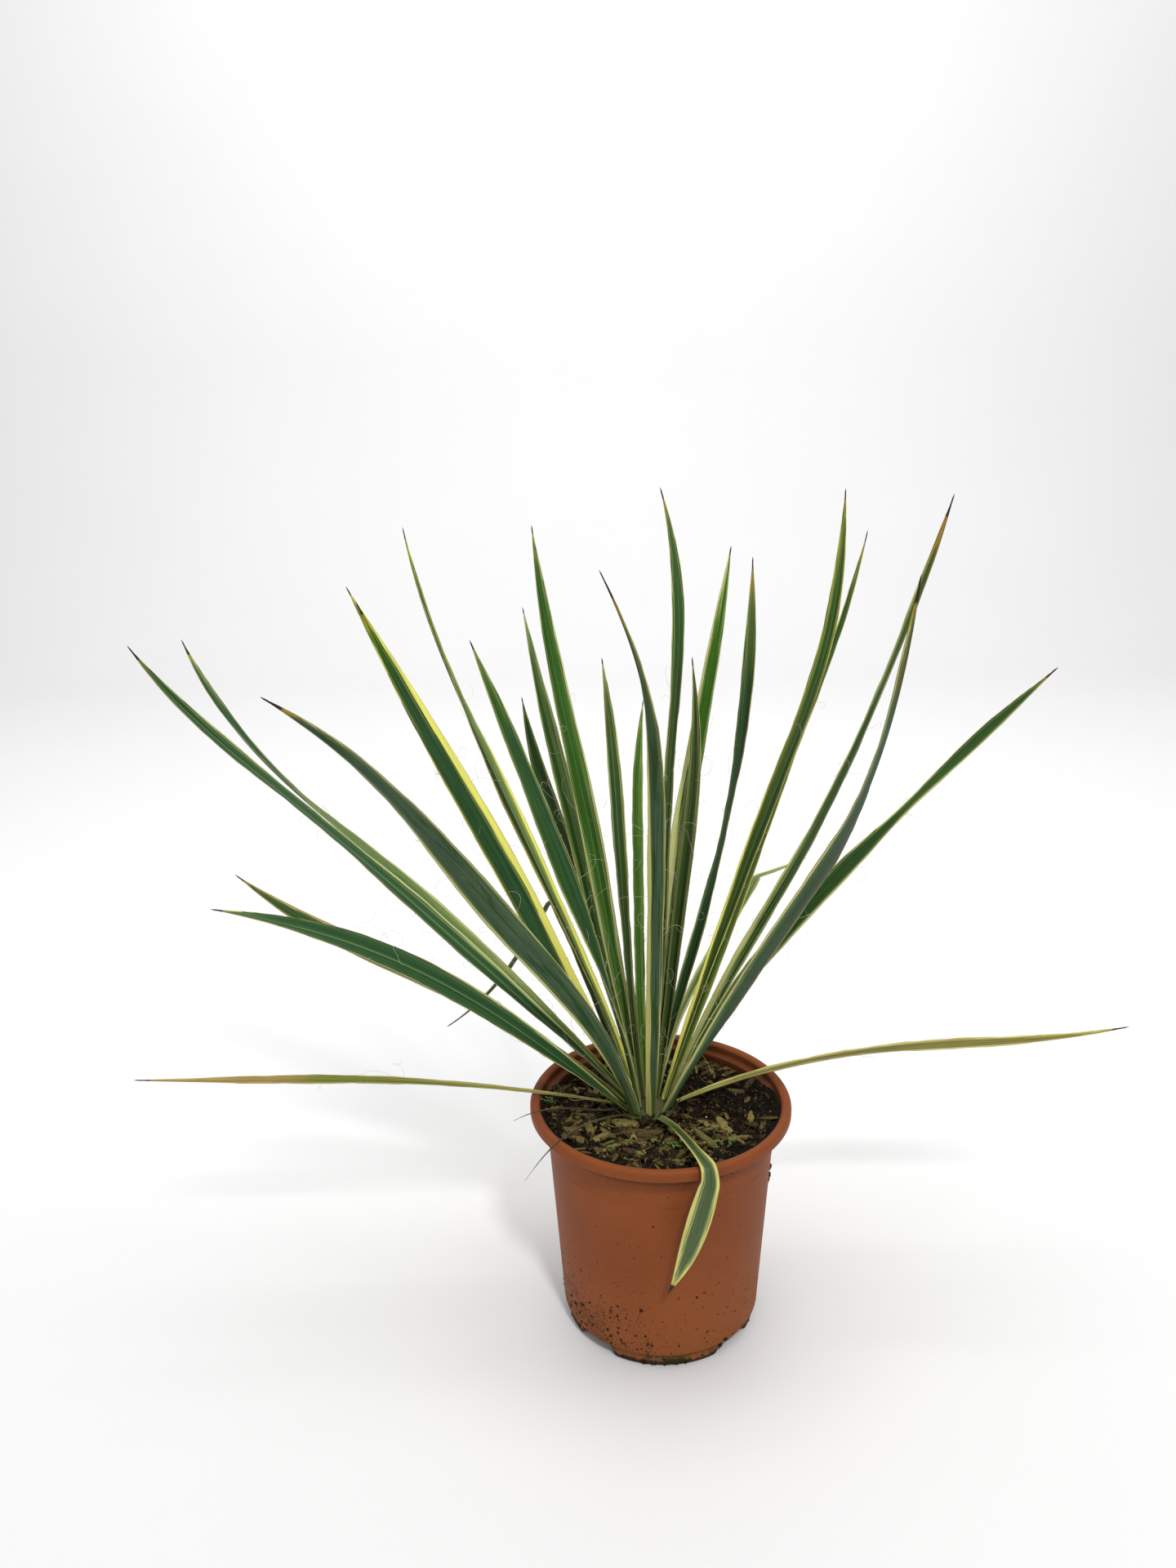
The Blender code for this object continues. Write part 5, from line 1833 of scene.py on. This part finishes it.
@dataclass
class PottingMix:
    """Dark peat with bark chips, crumbs, fibres, white grains and a few weed seedlings.

    large holds X, Y, length, width, yaw in degrees and shade of the chips that have their
    own place; seedlings X and Y; grains X, Y and size. All lengths are in mm.
    """

    seed: int = 21
    sides: int = 300
    shares: int = 74
    waves: int = 46
    chips: int = 640
    crumbs: int = 3200
    fibres: int = 260
    reach: float = 83.0
    chip_length: Span = (4.0, 17.0)
    chip_slimness: Span = (0.18, 0.46)
    chip_thickness: Span = (0.7, 1.7)
    large_thickness: float = 2.6
    crumb_size: Span = (0.35, 2.3)
    fibre_length: Span = (3.0, 13.0)
    fibre_bend: Span = (-0.3, 0.3)
    stem_height: Span = (1.8, 3.4)
    stem_radius: float = 0.16
    seed_leaf: Span = (1.5, 2.5)
    large: tuple[tuple[float, ...], ...] = (
        (-28.0, -17.0, 26.0, 12.0, 4.0, 0.85),
        (-15.0, -31.0, 31.0, 7.5, 2.0, 0.45),
        (-12.0, -37.0, 26.0, 6.0, -5.0, 0.34),
        (29.0, -48.0, 35.0, 6.0, -58.0, 0.66),
        (44.0, -28.0, 24.0, 8.0, -76.0, 0.95),
        (50.0, -51.0, 20.0, 8.5, 22.0, 0.7),
        (-52.0, -30.0, 22.0, 6.5, -70.0, 0.75),
        (-44.0, -43.0, 20.0, 6.0, 40.0, 0.85),
    )
    seedlings: tuple[tuple[float, float], ...] = (
        (-83.0, 5.0), (-79.0, 1.0), (-14.5, -13.5), (-16.5, -11.0), (-24.8, -49.7), (-4.7, -46.4),
        (6.6, -55.1), (9.0, -57.5), (35.5, -53.2), (44.1, -56.4), (-38.0, -58.0), (3.0, -50.0),
    )
    grains: tuple[tuple[float, float, float], ...] = (
        (23.8, -1.6, 1.9), (32.9, -12.1, 1.6), (26.0, -4.5, 1.0), (49.0, -24.0, 0.9),
        (12.0, -30.0, 0.8), (-52.0, -22.0, 0.8), (57.0, 12.0, 0.9), (-30.0, 48.0, 1.3),
        (21.0, 60.0, 1.1), (-61.0, 20.0, 1.0),
    )

    def __post_init__(self) -> None:
        """Seeds the scatter and the waves of the rough surface."""
        self.rng = np.random.default_rng(self.seed)
        turn = self.rng.uniform(0.0, math.tau, self.waves)
        pace = np.geomspace(0.25, 4.2, self.waves)
        self.paces = np.stack([pace * np.cos(turn), pace * np.sin(turn)])
        self.phases = self.rng.uniform(0.0, math.tau, self.waves)
        self.sizes = 0.62 / (1.0 + 1.1 * pace)

    def rough(self, x: np.ndarray, y: np.ndarray) -> np.ndarray:
        """Fine relief in mm: seeded sine waves, the shorter ones lower, with sharp hollows."""
        phase = np.einsum("...i,ij->...j", np.stack([x, y], axis=-1), self.paces) + self.phases
        total = (np.sin(phase) * self.sizes).sum(axis=-1)
        return total - 0.35 * np.abs(total)

    def body(self) -> Skin:
        """The mix as one closed skin, from its underside up the bore, over the top to the crown.

        Returns:
            The skin.
        """
        angle = np.linspace(0.0, math.tau, self.sides, endpoint=False)
        out = np.stack([np.cos(angle), np.sin(angle)], axis=-1)
        level = 0 * angle
        heap = heap_share(angle)
        crown = np.array([CROWN_X, CROWN_Y])
        hole = crown + CROWN_HOLE * out
        floor = FLOOR_TOP + GAP
        foot = NurseryPot().bore_radius(floor) - GAP
        rings = [(0.5 * foot * out, floor + level), (foot * out, floor + level)]
        rings += [(radius[:, None] * out, height) for radius, height in soil_rim(heap)]
        edge, edge_height = rings[-1]
        for share in np.linspace(0.985, 0.0, self.shares):
            place = hole + share * (edge - hole)
            height = soil_top(place[:, 0], place[:, 1], heap, share + level)
            height = height + smooth_step((share - 0.78) / 0.22) * (edge_height - height)
            inside = smooth_step(min(share, 1.0 - share) / 0.05)
            height = height + inside * self.rough(place[:, 0], place[:, 1])
            rings.append((place, height))
        narrower, neck = CROWN_NECK
        rings.append((crown + (CROWN_HOLE - narrower) * out, SOIL_LEVEL - neck + level))
        bottom = SOIL_LEVEL - CROWN_DEPTH - GAP
        rings.append((crown + CROWN_TIP_SHARE * CROWN_HOLE * out, bottom + level))
        return Skin(*closed_loft(np.stack([np.column_stack([place, z]) for place, z in rings])))

    def spread(self, count: int, clear: float, front: float) -> tuple[np.ndarray, np.ndarray]:
        """Seeded places on the soil, clear of the crown.

        Six times too many are drawn, so that enough are left.

        Args:
            count: How many.
            clear: Distance in mm kept from the crown's axis.
            front: Share of the places outside the front left half that are thrown away.

        Returns:
            X and Y in mm.
        """
        many = 6 * count
        angle = self.rng.uniform(0.0, math.tau, many)
        radius = self.reach * np.sqrt(self.rng.uniform(0.0, 1.0, many))
        x, y = radius * np.cos(angle), radius * np.sin(angle)
        limit = 79.0 + 6.0 * heap_share(angle)
        keep = (np.hypot(x - CROWN_X, y - CROWN_Y) > clear) & (radius < limit)
        favoured = smooth_step((-0.75 * x - 0.66 * y + 42.0) / 50.0)
        favoured = favoured + smooth_step((y - 40.0) / 20.0)
        keep &= self.rng.uniform(0.0, 1.0, many) > front * (1.0 - favoured)
        return x[keep][:count], y[keep][:count]

    def chip_skin(self) -> Skin:
        """Named large chips and the scattered ones, each with its own shade and grain.

        Returns:
            The skin.
        """
        rng, large = self.rng, np.array(self.large)
        named = len(large)
        x, y = self.spread(self.chips, 30.0, 0.86)
        count = len(x)
        length = np.concatenate([large[:, 2], rng.gamma(4.6, 2.25, count).clip(*self.chip_length)])
        slimness = rng.uniform(*self.chip_slimness, count)
        width = np.concatenate([large[:, 3], slimness * length[named:]])
        width = np.minimum(width, np.where(length > 20, 12.0, 5.2))
        thick = rng.uniform(*self.chip_thickness, count)
        thick = np.concatenate([np.full(named, self.large_thickness), thick])
        yaw = np.concatenate([np.radians(large[:, 4]), rng.uniform(0.0, math.pi, count)])
        pitch = np.concatenate([np.full(named, 0.05), rng.normal(0.0, 0.22, count)])
        roll = np.concatenate([np.full(named, -0.16), rng.normal(0.0, 0.28, count)])
        x, y = np.concatenate([large[:, 0], x]), np.concatenate([large[:, 1], y])
        z = soil_height(x, y) + 0.55 * thick + 0.2 + np.abs(np.sin(roll)) * width * 0.25
        by_lip = np.hypot(x, y) > 76.0
        z = np.minimum(z, np.where(by_lip, POT_HEIGHT - 1.0, POT_HEIGHT + 6.0))
        rings = Chips(rng).rings(length, width, thick)
        shade = np.concatenate([large[:, 5], rng.beta(0.9, 1.5, count)])
        centre = np.stack([x, y, z], axis=-1)
        points, faces = many_lofts(placed(rings, turns(yaw, pitch, roll), centre))
        total = len(x)
        local = np.concatenate([rings.reshape(total, -1, 3), np.zeros((total, 2, 3))], axis=1)
        grain = local[..., :2] * MM + rng.uniform(0.0, 1.0, (total, 1, 2))
        values = {"shade": np.repeat(shade, local.shape[1])}
        return Skin(points, faces, values, flat=grain.reshape(-1, 2))

    def crumb_skin(self) -> Skin:
        """Crumbs of peat and bark dust: small lumps of three uneven rings.

        Returns:
            The skin.
        """
        rng = self.rng
        x, y = self.spread(self.crumbs, 21.5, 0.0)
        count = len(x)
        size = rng.gamma(3.2, 0.28, count).clip(*self.crumb_size)
        turn = math.tau * np.arange(6) / 6
        ring = np.stack([np.cos(turn), np.sin(turn), 0 * turn], axis=-1)
        steps = ((0.6, (0, 0, -0.5)), (1.0, (0, 0, 0)), (0.55, (0, 0, 0.5)))
        rings = lump_rings(rng, count, ring, steps, 0.65, 1.25) * size[:, None, None, None] * 0.7
        long, flat = rng.uniform(0.8, 2.2, count), rng.uniform(0.6, 1.0, count)
        rings = rings * np.stack([long, np.ones(count), flat], -1)[:, None, None]
        turn_by = turns(*rng.uniform(0.0, math.tau, (3, count)))
        z = soil_height(x, y) + self.rough(x, y) + 0.25 * size
        lumps = many_lofts(placed(rings, turn_by, np.stack([x, y, z], axis=-1)))
        return shaded(*lumps, rng.beta(1.0, 3.2, count), rng.uniform(0.0, 1.0, (count, 2)))

    def fibre_skin(self) -> Skin:
        """Short root and bark fibres lying on the soil, each a gentle arc.

        Returns:
            The skin.
        """
        rng = self.rng
        x, y = self.spread(self.fibres, 26.0, 0.2)
        count = len(x)
        t = np.linspace(-0.5, 0.5, 6)
        length = rng.uniform(*self.fibre_length, count)[:, None]
        yaw = rng.uniform(0.0, math.tau, count)[:, None]
        aside = rng.uniform(*self.fibre_bend, count)[:, None] * length * t**2
        fx = x[:, None] + length * t * np.cos(yaw) - aside * np.sin(yaw)
        fy = y[:, None] + length * t * np.sin(yaw) + aside * np.cos(yaw)
        shrink = np.minimum(1.0, (self.reach + 1.0) / np.hypot(fx, fy))
        fx, fy = fx * shrink, fy * shrink
        fz = soil_height(fx, fy) + 1.1 + 0.9 * np.sin(6.0 * t + yaw)
        radius = np.interp(t, (-0.5, -0.2, 0.3, 0.5), (0.12, 0.24, 0.22, 0.08))
        strands = tubes(np.stack([fx, fy, fz], axis=-1), radius, 4)
        return shaded(*strands, rng.beta(1.6, 1.8, count), rng.uniform(0.0, 1.0, (count, 2)))

    def grain_skin(self) -> Skin:
        """White grains of perlite, as uneven balls of four rings.

        Returns:
            The skin.
        """
        x, y, size = np.array(self.grains).T
        count, around = len(size), 7
        turn = math.tau * np.arange(around) / around
        ring = np.stack([np.cos(turn), np.sin(turn), 0 * turn], axis=-1)
        polar = np.radians([30.0, 70.0, 115.0, 155.0])
        steps = [(out, (0, 0, up)) for out, up in zip(np.sin(polar), np.cos(polar))]
        rings = lump_rings(self.rng, count, ring, steps, 0.75, 1.1)
        rings = rings * 0.5 * size[:, None, None, None]
        centre = np.stack([x, y, soil_height(x, y) + 0.9], axis=-1)
        return Skin(*many_lofts(placed(rings, turns(*np.zeros((3, count))), centre)))

    def seedling_skin(self) -> Skin:
        """Weed seedlings: a thread of a stem and two or three round seed leaves on it.

        Returns:
            The skin.
        """
        rng = self.rng
        stems, leaves, turns_by, centres = [], [], [], []
        t = np.linspace(0.0, 1.0, 4)
        turn = math.tau * np.arange(8) / 8
        oval = np.stack([0.5 + 0.5 * np.cos(turn), 0.42 * np.sin(turn), 0 * turn], axis=-1)
        blade = np.stack([oval * 0.8 + [0.1, 0, -0.05], oval, oval * 0.8 + [0.1, 0, 0.05]])
        for x, y in self.seedlings:
            for _ in range(rng.integers(2, 4)):
                px, py = np.array([x, y]) + rng.normal(0.0, 1.5, 2)
                base = float(soil_height(np.array(px), np.array(py))) + 0.2
                tall = rng.uniform(*self.stem_height)
                dx, dy = rng.normal(0.0, 0.5, 2)
                stems.append(np.stack([px + dx * t, py + dy * t, base + tall * t], axis=-1))
                first = rng.uniform(0.0, math.tau)
                for index in range(rng.integers(2, 4)):
                    size = rng.uniform(*self.seed_leaf)
                    lift = 0.10 * size * (blade[..., 0:1] ** 2) * np.array([0.0, 0.0, 1.0])
                    leaves.append(blade * size + lift)
                    turns_by.append((first + math.pi * index + rng.normal(0, 0.2), -0.25, 0.0))
                    centres.append((px + dx, py + dy, base + tall))
        stalks = Skin(*tubes(np.array(stems), np.full(len(t), self.stem_radius), 4))
        turned = placed(np.array(leaves), turns(*np.array(turns_by).T), np.array(centres))
        blades, faces = many_lofts(turned)
        faces = np.vstack([stalks.faces, faces + len(stalks.points)])
        return Skin(np.vstack([stalks.points, blades]), faces)

    def build(self, bark: bpy.types.Material) -> None:
        """Builds the soil and everything lying in it.

        Args:
            bark: The material of chips, crumbs and fibres.
        """
        finish = MixFinish()
        settle(self.body().build("peat", [finish.peat()]), Slot.MIX, "soil")
        settle(self.chip_skin().build("bark_chips", [bark], 26.0), Slot.MIX)
        settle(self.crumb_skin().build("soil_crumbs", [bark], 60.0), Slot.MIX)
        settle(self.fibre_skin().build("soil_fibres", [bark]), Slot.MIX)
        settle(self.grain_skin().build("white_grains", [finish.white()]), Slot.MIX)
        settle(self.seedling_skin().build("seedlings", [finish.sprout()]), Slot.LEAF)


@dataclass
class StuckSoil:
    """Lumps of wet soil stuck to the outside of the pot, low on the left and round its feet.

    known holds angle in degrees, height and size in mm of the lumps that have their own place.
    front_left is the middle and spread in degrees of those on the wall.
    """

    pot: NurseryPot
    seed: int = 8
    lumps: int = 240
    share_low: float = 0.45
    low_height: Span = (0.6, 9.0)
    low_size: Span = (0.7, 2.6)
    wall_size: Span = (0.35, 2.0)
    front_left: tuple[float, float] = (222.0, 26.0)
    highest: float = 110.0
    known: tuple[tuple[float, float, float], ...] = (
        (-54.0, 12.2, 3.4), (-52.0, 9.5, 4.6), (-49.0, 7.0, 4.2), (-56.0, 6.0, 3.4),
        (-103.0, 1.8, 3.2), (-98.0, 1.5, 2.6), (-79.0, 1.6, 2.4), (-84.0, 2.2, 3.0),
        (-91.0, 1.4, 2.6), (-103.8, 50.5, 3.0), (-12.0, 127.0, 4.2), (-13.5, 121.0, 4.6),
        (-11.5, 115.0, 3.2), (-122.0, 20.0, 2.4), (-124.0, 24.6, 2.2), (-116.0, 19.5, 1.8),
        (-142.0, 33.0, 2.4), (-150.0, 27.0, 2.6), (-146.0, 22.0, 2.2), (-121.5, 43.0, 1.7),
        (-121.0, 46.0, 1.5), (-128.0, 81.0, 1.0), (-127.0, 113.5, 1.3), (-97.0, 124.0, 1.2),
        (-136.0, 40.0, 1.6),
    )

    def skin(self) -> Skin:
        """Flattened lumps on the wall and feet.

        Each is three uneven rings of six points, pressed flat against the pot, at an angle
        and height drawn so that most lie low and towards the front left. Lumps low enough
        for the notches between the feet are kept only where a foot stands.

        Returns:
            The skin.
        """
        rng, count, known = np.random.default_rng(self.seed), self.lumps, np.array(self.known)
        low = rng.uniform(0.0, 1.0, count) < self.share_low
        anywhere = rng.uniform(0.0, 360.0, count)
        angle = np.radians(np.where(low, anywhere, rng.normal(*self.front_left, count)))
        height = rng.uniform(*self.low_height, count)
        height = np.where(low, height, 12.0 + rng.gamma(1.6, 11.0, count))
        height = height.clip(self.low_height[0], self.highest)
        size = rng.uniform(*self.low_size, count)
        size = np.where(low, size, rng.gamma(2.6, 0.30, count).clip(*self.wall_size))
        angle[: len(known)] = np.radians(known[:, 0])
        height[: len(known)] = known[:, 1]
        size[: len(known)] = known[:, 2]
        height = np.maximum(height, 0.55 * size + 0.1)
        cosine, sine = np.cos(angle), np.sin(angle)
        aside = np.minimum(np.abs(cosine - sine), np.abs(cosine + sine))
        on_foot = aside * FOOT_RADIUS / math.sqrt(2.0) > 0.5 * NOTCH + 1.0
        keep = (height > FLOOR_HEIGHT + 1.0) | on_foot
        radius = np.where(height > FLOOR_HEIGHT, self.pot.wall_radius(height), FOOT_RADIUS)
        turn = math.tau * np.arange(6) / 6
        ring = np.stack([0 * turn, np.cos(turn), np.sin(turn)], axis=-1)
        steps = ((0.9, (-0.25, 0, 0)), (1.0, (0.1, 0, 0)), (0.5, (0.42, 0, 0)))
        rings = lump_rings(rng, count, ring, steps, 0.6, 1.3) * size[:, None, None, None] * 0.62
        centre = np.stack([radius * cosine, radius * sine, height], axis=-1)
        turn_by = turns(angle, 0 * angle, rng.uniform(0, math.tau, count))
        turned = placed(rings, turn_by, centre)[keep]
        turned[..., 2] = np.maximum(turned[..., 2], 0.05)
        kept = len(turned)
        return shaded(*many_lofts(turned), rng.uniform(0.0, 0.22, kept), np.zeros((kept, 2)))

    def build(self, bark: bpy.types.Material) -> None:
        """Builds the lumps in the material of the chips."""
        settle(self.skin().build("stuck_soil", [bark], 60.0), Slot.MIX)


@dataclass(frozen=True)
class CrownFinish:
    """Fibrous base: dull green where young, straw and brown where old."""

    young: Colour = (0.075, 0.085, 0.026)
    old: Colour = (0.125, 0.088, 0.040)

    def build(self) -> bpy.types.Material:
        """The fibre, read from the age painted on the pieces.

        Returns:
            The material.
        """
        g = Graph("crown_fibre")
        grain = g.streaks(g.place(), (900.0, 900.0, 120.0), 3.0, 0.6)
        colour = g.lit(g.blend(g.attribute("age"), self.young, self.old), 0.45 + 0.95 * grain)
        return g.finish(colour, 0.8, grain, 0.0007, 0.8, 0.3)


@dataclass
class Crown:
    """The short stump under the leaves, ringed by the dry sheaths of old leaves."""

    seed: int = 3
    sides: int = 96
    rings: int = 26
    sheaths: int = 26
    sheath_base: Span = (17.5, 20.5)
    sheath_height: Span = (5.0, 12.0)
    sheath_lean: Span = (0.5, 1.05)
    sheath_width: Span = (5.0, 8.5)

    def stump(self) -> Skin:
        """The dome of the frame's crown turned round, with fibrous ridges up its sides.

        Returns:
            The skin.
        """
        angle = np.linspace(0.0, math.tau, self.sides, endpoint=False)
        radii = np.linspace(CROWN_DOME[-1][0], 0.3, self.rings)
        top = SOIL_LEVEL + np.interp(radii, *zip(*CROWN_DOME))
        narrower, neck = CROWN_NECK
        below = (CROWN_TIP_SHARE * CROWN_HOLE - GAP, CROWN_HOLE - narrower - GAP)
        radius = np.concatenate([below, radii])[:, None]
        height = np.concatenate([(SOIL_LEVEL - CROWN_DEPTH, SOIL_LEVEL - neck), top])[:, None]
        ridge = 0.35 * np.sin(23 * angle + 1.0) + 0.22 * np.sin(41 * angle)
        on_top = height > SOIL_LEVEL - 2.0
        z = height - on_top * (0.35 + 0.5 * np.abs(ridge)) * smooth_step(radius / 8.0)
        x = CROWN_X + radius * np.cos(angle)
        y = CROWN_Y + radius * np.sin(angle)
        points, faces = closed_loft(np.stack([x, y, z], axis=-1))
        return Skin(points, faces, {"age": np.full(len(points), 0.3)})

    def sheath_skin(self) -> Skin:
        """Old leaf bases cut short: curved strips that stand round the crown and lean out.

        A strip runs up a line that leans out by a seeded angle. Its width falls to a ragged
        end, and its middle stands further out than its edges, by a share of its width.

        Returns:
            The skin.
        """
        rng = np.random.default_rng(self.seed)
        count = self.sheaths
        angle = math.tau * (np.arange(count) + rng.uniform(-0.3, 0.3, count)) / count
        base, tall, lean, wide = (
            rng.uniform(*span, count)[:, None, None]
            for span in (self.sheath_base, self.sheath_height, self.sheath_lean, self.sheath_width)
        )
        t = np.linspace(0.0, 1.0, 9)[None, :, None]
        u = np.linspace(-1.0, 1.0, 7)
        shape = 1.0 - 0.65 * t**1.6
        ragged = 1.0 + 0.10 * np.sin(9.0 * u + rng.uniform(0, 6, (count, 1)))
        up = tall * t * ragged[:, None]
        out = base + np.tan(lean) * up * (0.35 + 0.4 * t)
        side = (0.5 * wide * shape * u)[..., None]
        cup = 0.22 * wide * shape * (1.0 - u**2)
        thick = 0.35 * (1.0 - 0.6 * t) * np.ones_like(up)
        across = np.stack([-np.sin(angle), np.cos(angle)], axis=-1)[:, None, None]
        forward = np.stack([np.cos(angle), np.sin(angle)], axis=-1)[:, None, None]
        sides = []
        for offset in (thick, -thick):
            distance = (out + cup + offset)[..., None]
            flat = np.array([CROWN_X, CROWN_Y]) + distance * forward + side * across
            height = SOIL_LEVEL - 3.5 + up + 0.15 * offset
            sides.append(np.concatenate([flat, height[..., None]], axis=-1))
        points, faces = many_lofts(np.concatenate([sides[0], sides[1][:, :, ::-1]], axis=2))
        age = np.repeat(rng.uniform(0.35, 1.0, count), len(points) // count)
        return Skin(points, faces, {"age": age})

    def build(self) -> None:
        """Builds the stump and its sheaths."""
        fibre = CrownFinish().build()
        settle(self.stump().build("stump", [fibre]), Slot.BARK, "crown")
        settle(self.sheath_skin().build("old_sheaths", [fibre], 60.0), Slot.BARK)


@dataclass(frozen=True)
class Lamp:
    """A square lamp turned to a point. Lengths are in metres."""

    name: str
    place: tuple[float, float, float]
    aim: tuple[float, float, float]
    size: float
    watts: float

    def build(self) -> None:
        """Hangs the lamp."""
        data = bpy.data.lights.new(self.name, "AREA")
        data.shape = "SQUARE"
        data.size = self.size
        data.energy = self.watts
        lamp = bpy.data.objects.new(self.name, data)
        lamp.location = self.place
        towards = Vector(self.aim) - Vector(self.place)
        lamp.rotation_euler = towards.to_track_quat("-Z", "Y").to_euler()
        bpy.context.scene.collection.objects.link(lamp)


@dataclass
class Studio:
    """Pale floor that curves up behind, soft lamps and the photograph's camera."""

    lens: float = 27.0
    place: tuple[float, float, float] = (-0.0483, -0.7610, 0.6391)
    pitch: float = 16.42
    roll: float = -1.09
    surround: float = 0.42
    floor_back: float = 2.4
    floor_bend: float = 0.9
    floor_drop: float = 0.0004
    floor_tones: tuple[Colour, Colour] = ((0.83, 0.83, 0.83), (0.85, 0.85, 0.85))
    lamps: tuple[Lamp, ...] = (
        Lamp("key", (0.45, -1.75, 2.35), (0.0, 0.0, 0.22), 0.28, 32.0),
        Lamp("fill", (-2.0, -2.4, 1.8), (0.0, 0.0, 0.22), 1.8, 8.0),
        Lamp("wall", (0.0, 0.7, 2.9), (0.0, 3.3, 0.9), 3.0, 78.0),
    )

    def floor(self) -> None:
        """A sheet level to floor_back behind the plant, then a quarter turn up into a wall."""
        back, radius = self.floor_back, self.floor_bend
        bend = np.radians(np.linspace(0.0, 90.0, 25))[1:]
        level = np.linspace(-1.0, back, 12)
        y = np.concatenate([[-5.0, -2.0], level, back + radius * np.sin(bend), [3.3]])
        z = np.concatenate([[0.0, 0.0], 0 * level, radius * (1.0 - np.cos(bend)), [5.0]])
        z = z - self.floor_drop
        x = np.linspace(-6.0, 6.0, 9)
        points = np.stack([np.tile(x, len(y)), np.repeat(y, len(x)), np.repeat(z, len(x))], axis=-1)
        g = Graph("pale_floor")
        pale = g.finish(g.blend(g.noise(g.place(), 3.0, 2.0), *self.floor_tones), 0.85)
        sheet = Skin(points / MM, quads(len(y), len(x))).build("studio_floor", [pale])

    def camera(self) -> None:
        """The photograph's camera: level X, looking along +Y, pitched down, then rolled."""
        pitch, roll = math.radians(self.pitch), math.radians(self.roll)
        right = Vector((1.0, 0.0, 0.0))
        ahead = Vector((0.0, math.cos(pitch), -math.sin(pitch)))
        up = right.cross(ahead)
        side = right * math.cos(roll) + up * math.sin(roll)
        top = up * math.cos(roll) - right * math.sin(roll)
        turn = Matrix((side, top, -ahead)).transposed().to_4x4()
        data = bpy.data.cameras.new("photo_view")
        data.sensor_width = 36.0
        data.lens = self.lens
        data.clip_start = 0.01
        camera = bpy.data.objects.new("photo_view", data)
        camera.matrix_world = Matrix.Translation(self.place) @ turn
        bpy.context.scene.collection.objects.link(camera)
        bpy.context.scene.camera = camera

    def build(self) -> None:
        """Sets the floor, the lamps, the pale surround and the camera."""
        self.floor()
        for lamp in self.lamps:
            lamp.build()
        world = bpy.data.worlds.new("surround")
        world.use_nodes = True
        background = world.node_tree.nodes["Background"]
        background.inputs["Color"].default_value = (1.0, 1.0, 1.0, 1.0)
        background.inputs["Strength"].default_value = self.surround
        bpy.context.scene.world = world
        bpy.context.scene.view_settings.view_transform = "Standard"
        self.camera()


def main() -> None:
    """Builds the studio, the pot with its soil, the crown and the leaves."""
    logging.basicConfig(level=logging.INFO, format="%(name)s %(message)s")
    Studio().build()
    pot = NurseryPot()
    pot.build()
    bark = MixFinish().bark()
    PottingMix().build(bark)
    StuckSoil(pot).build(bark)
    Crown().build()
    Rosette().build()


if __name__ == "__main__":
    main()
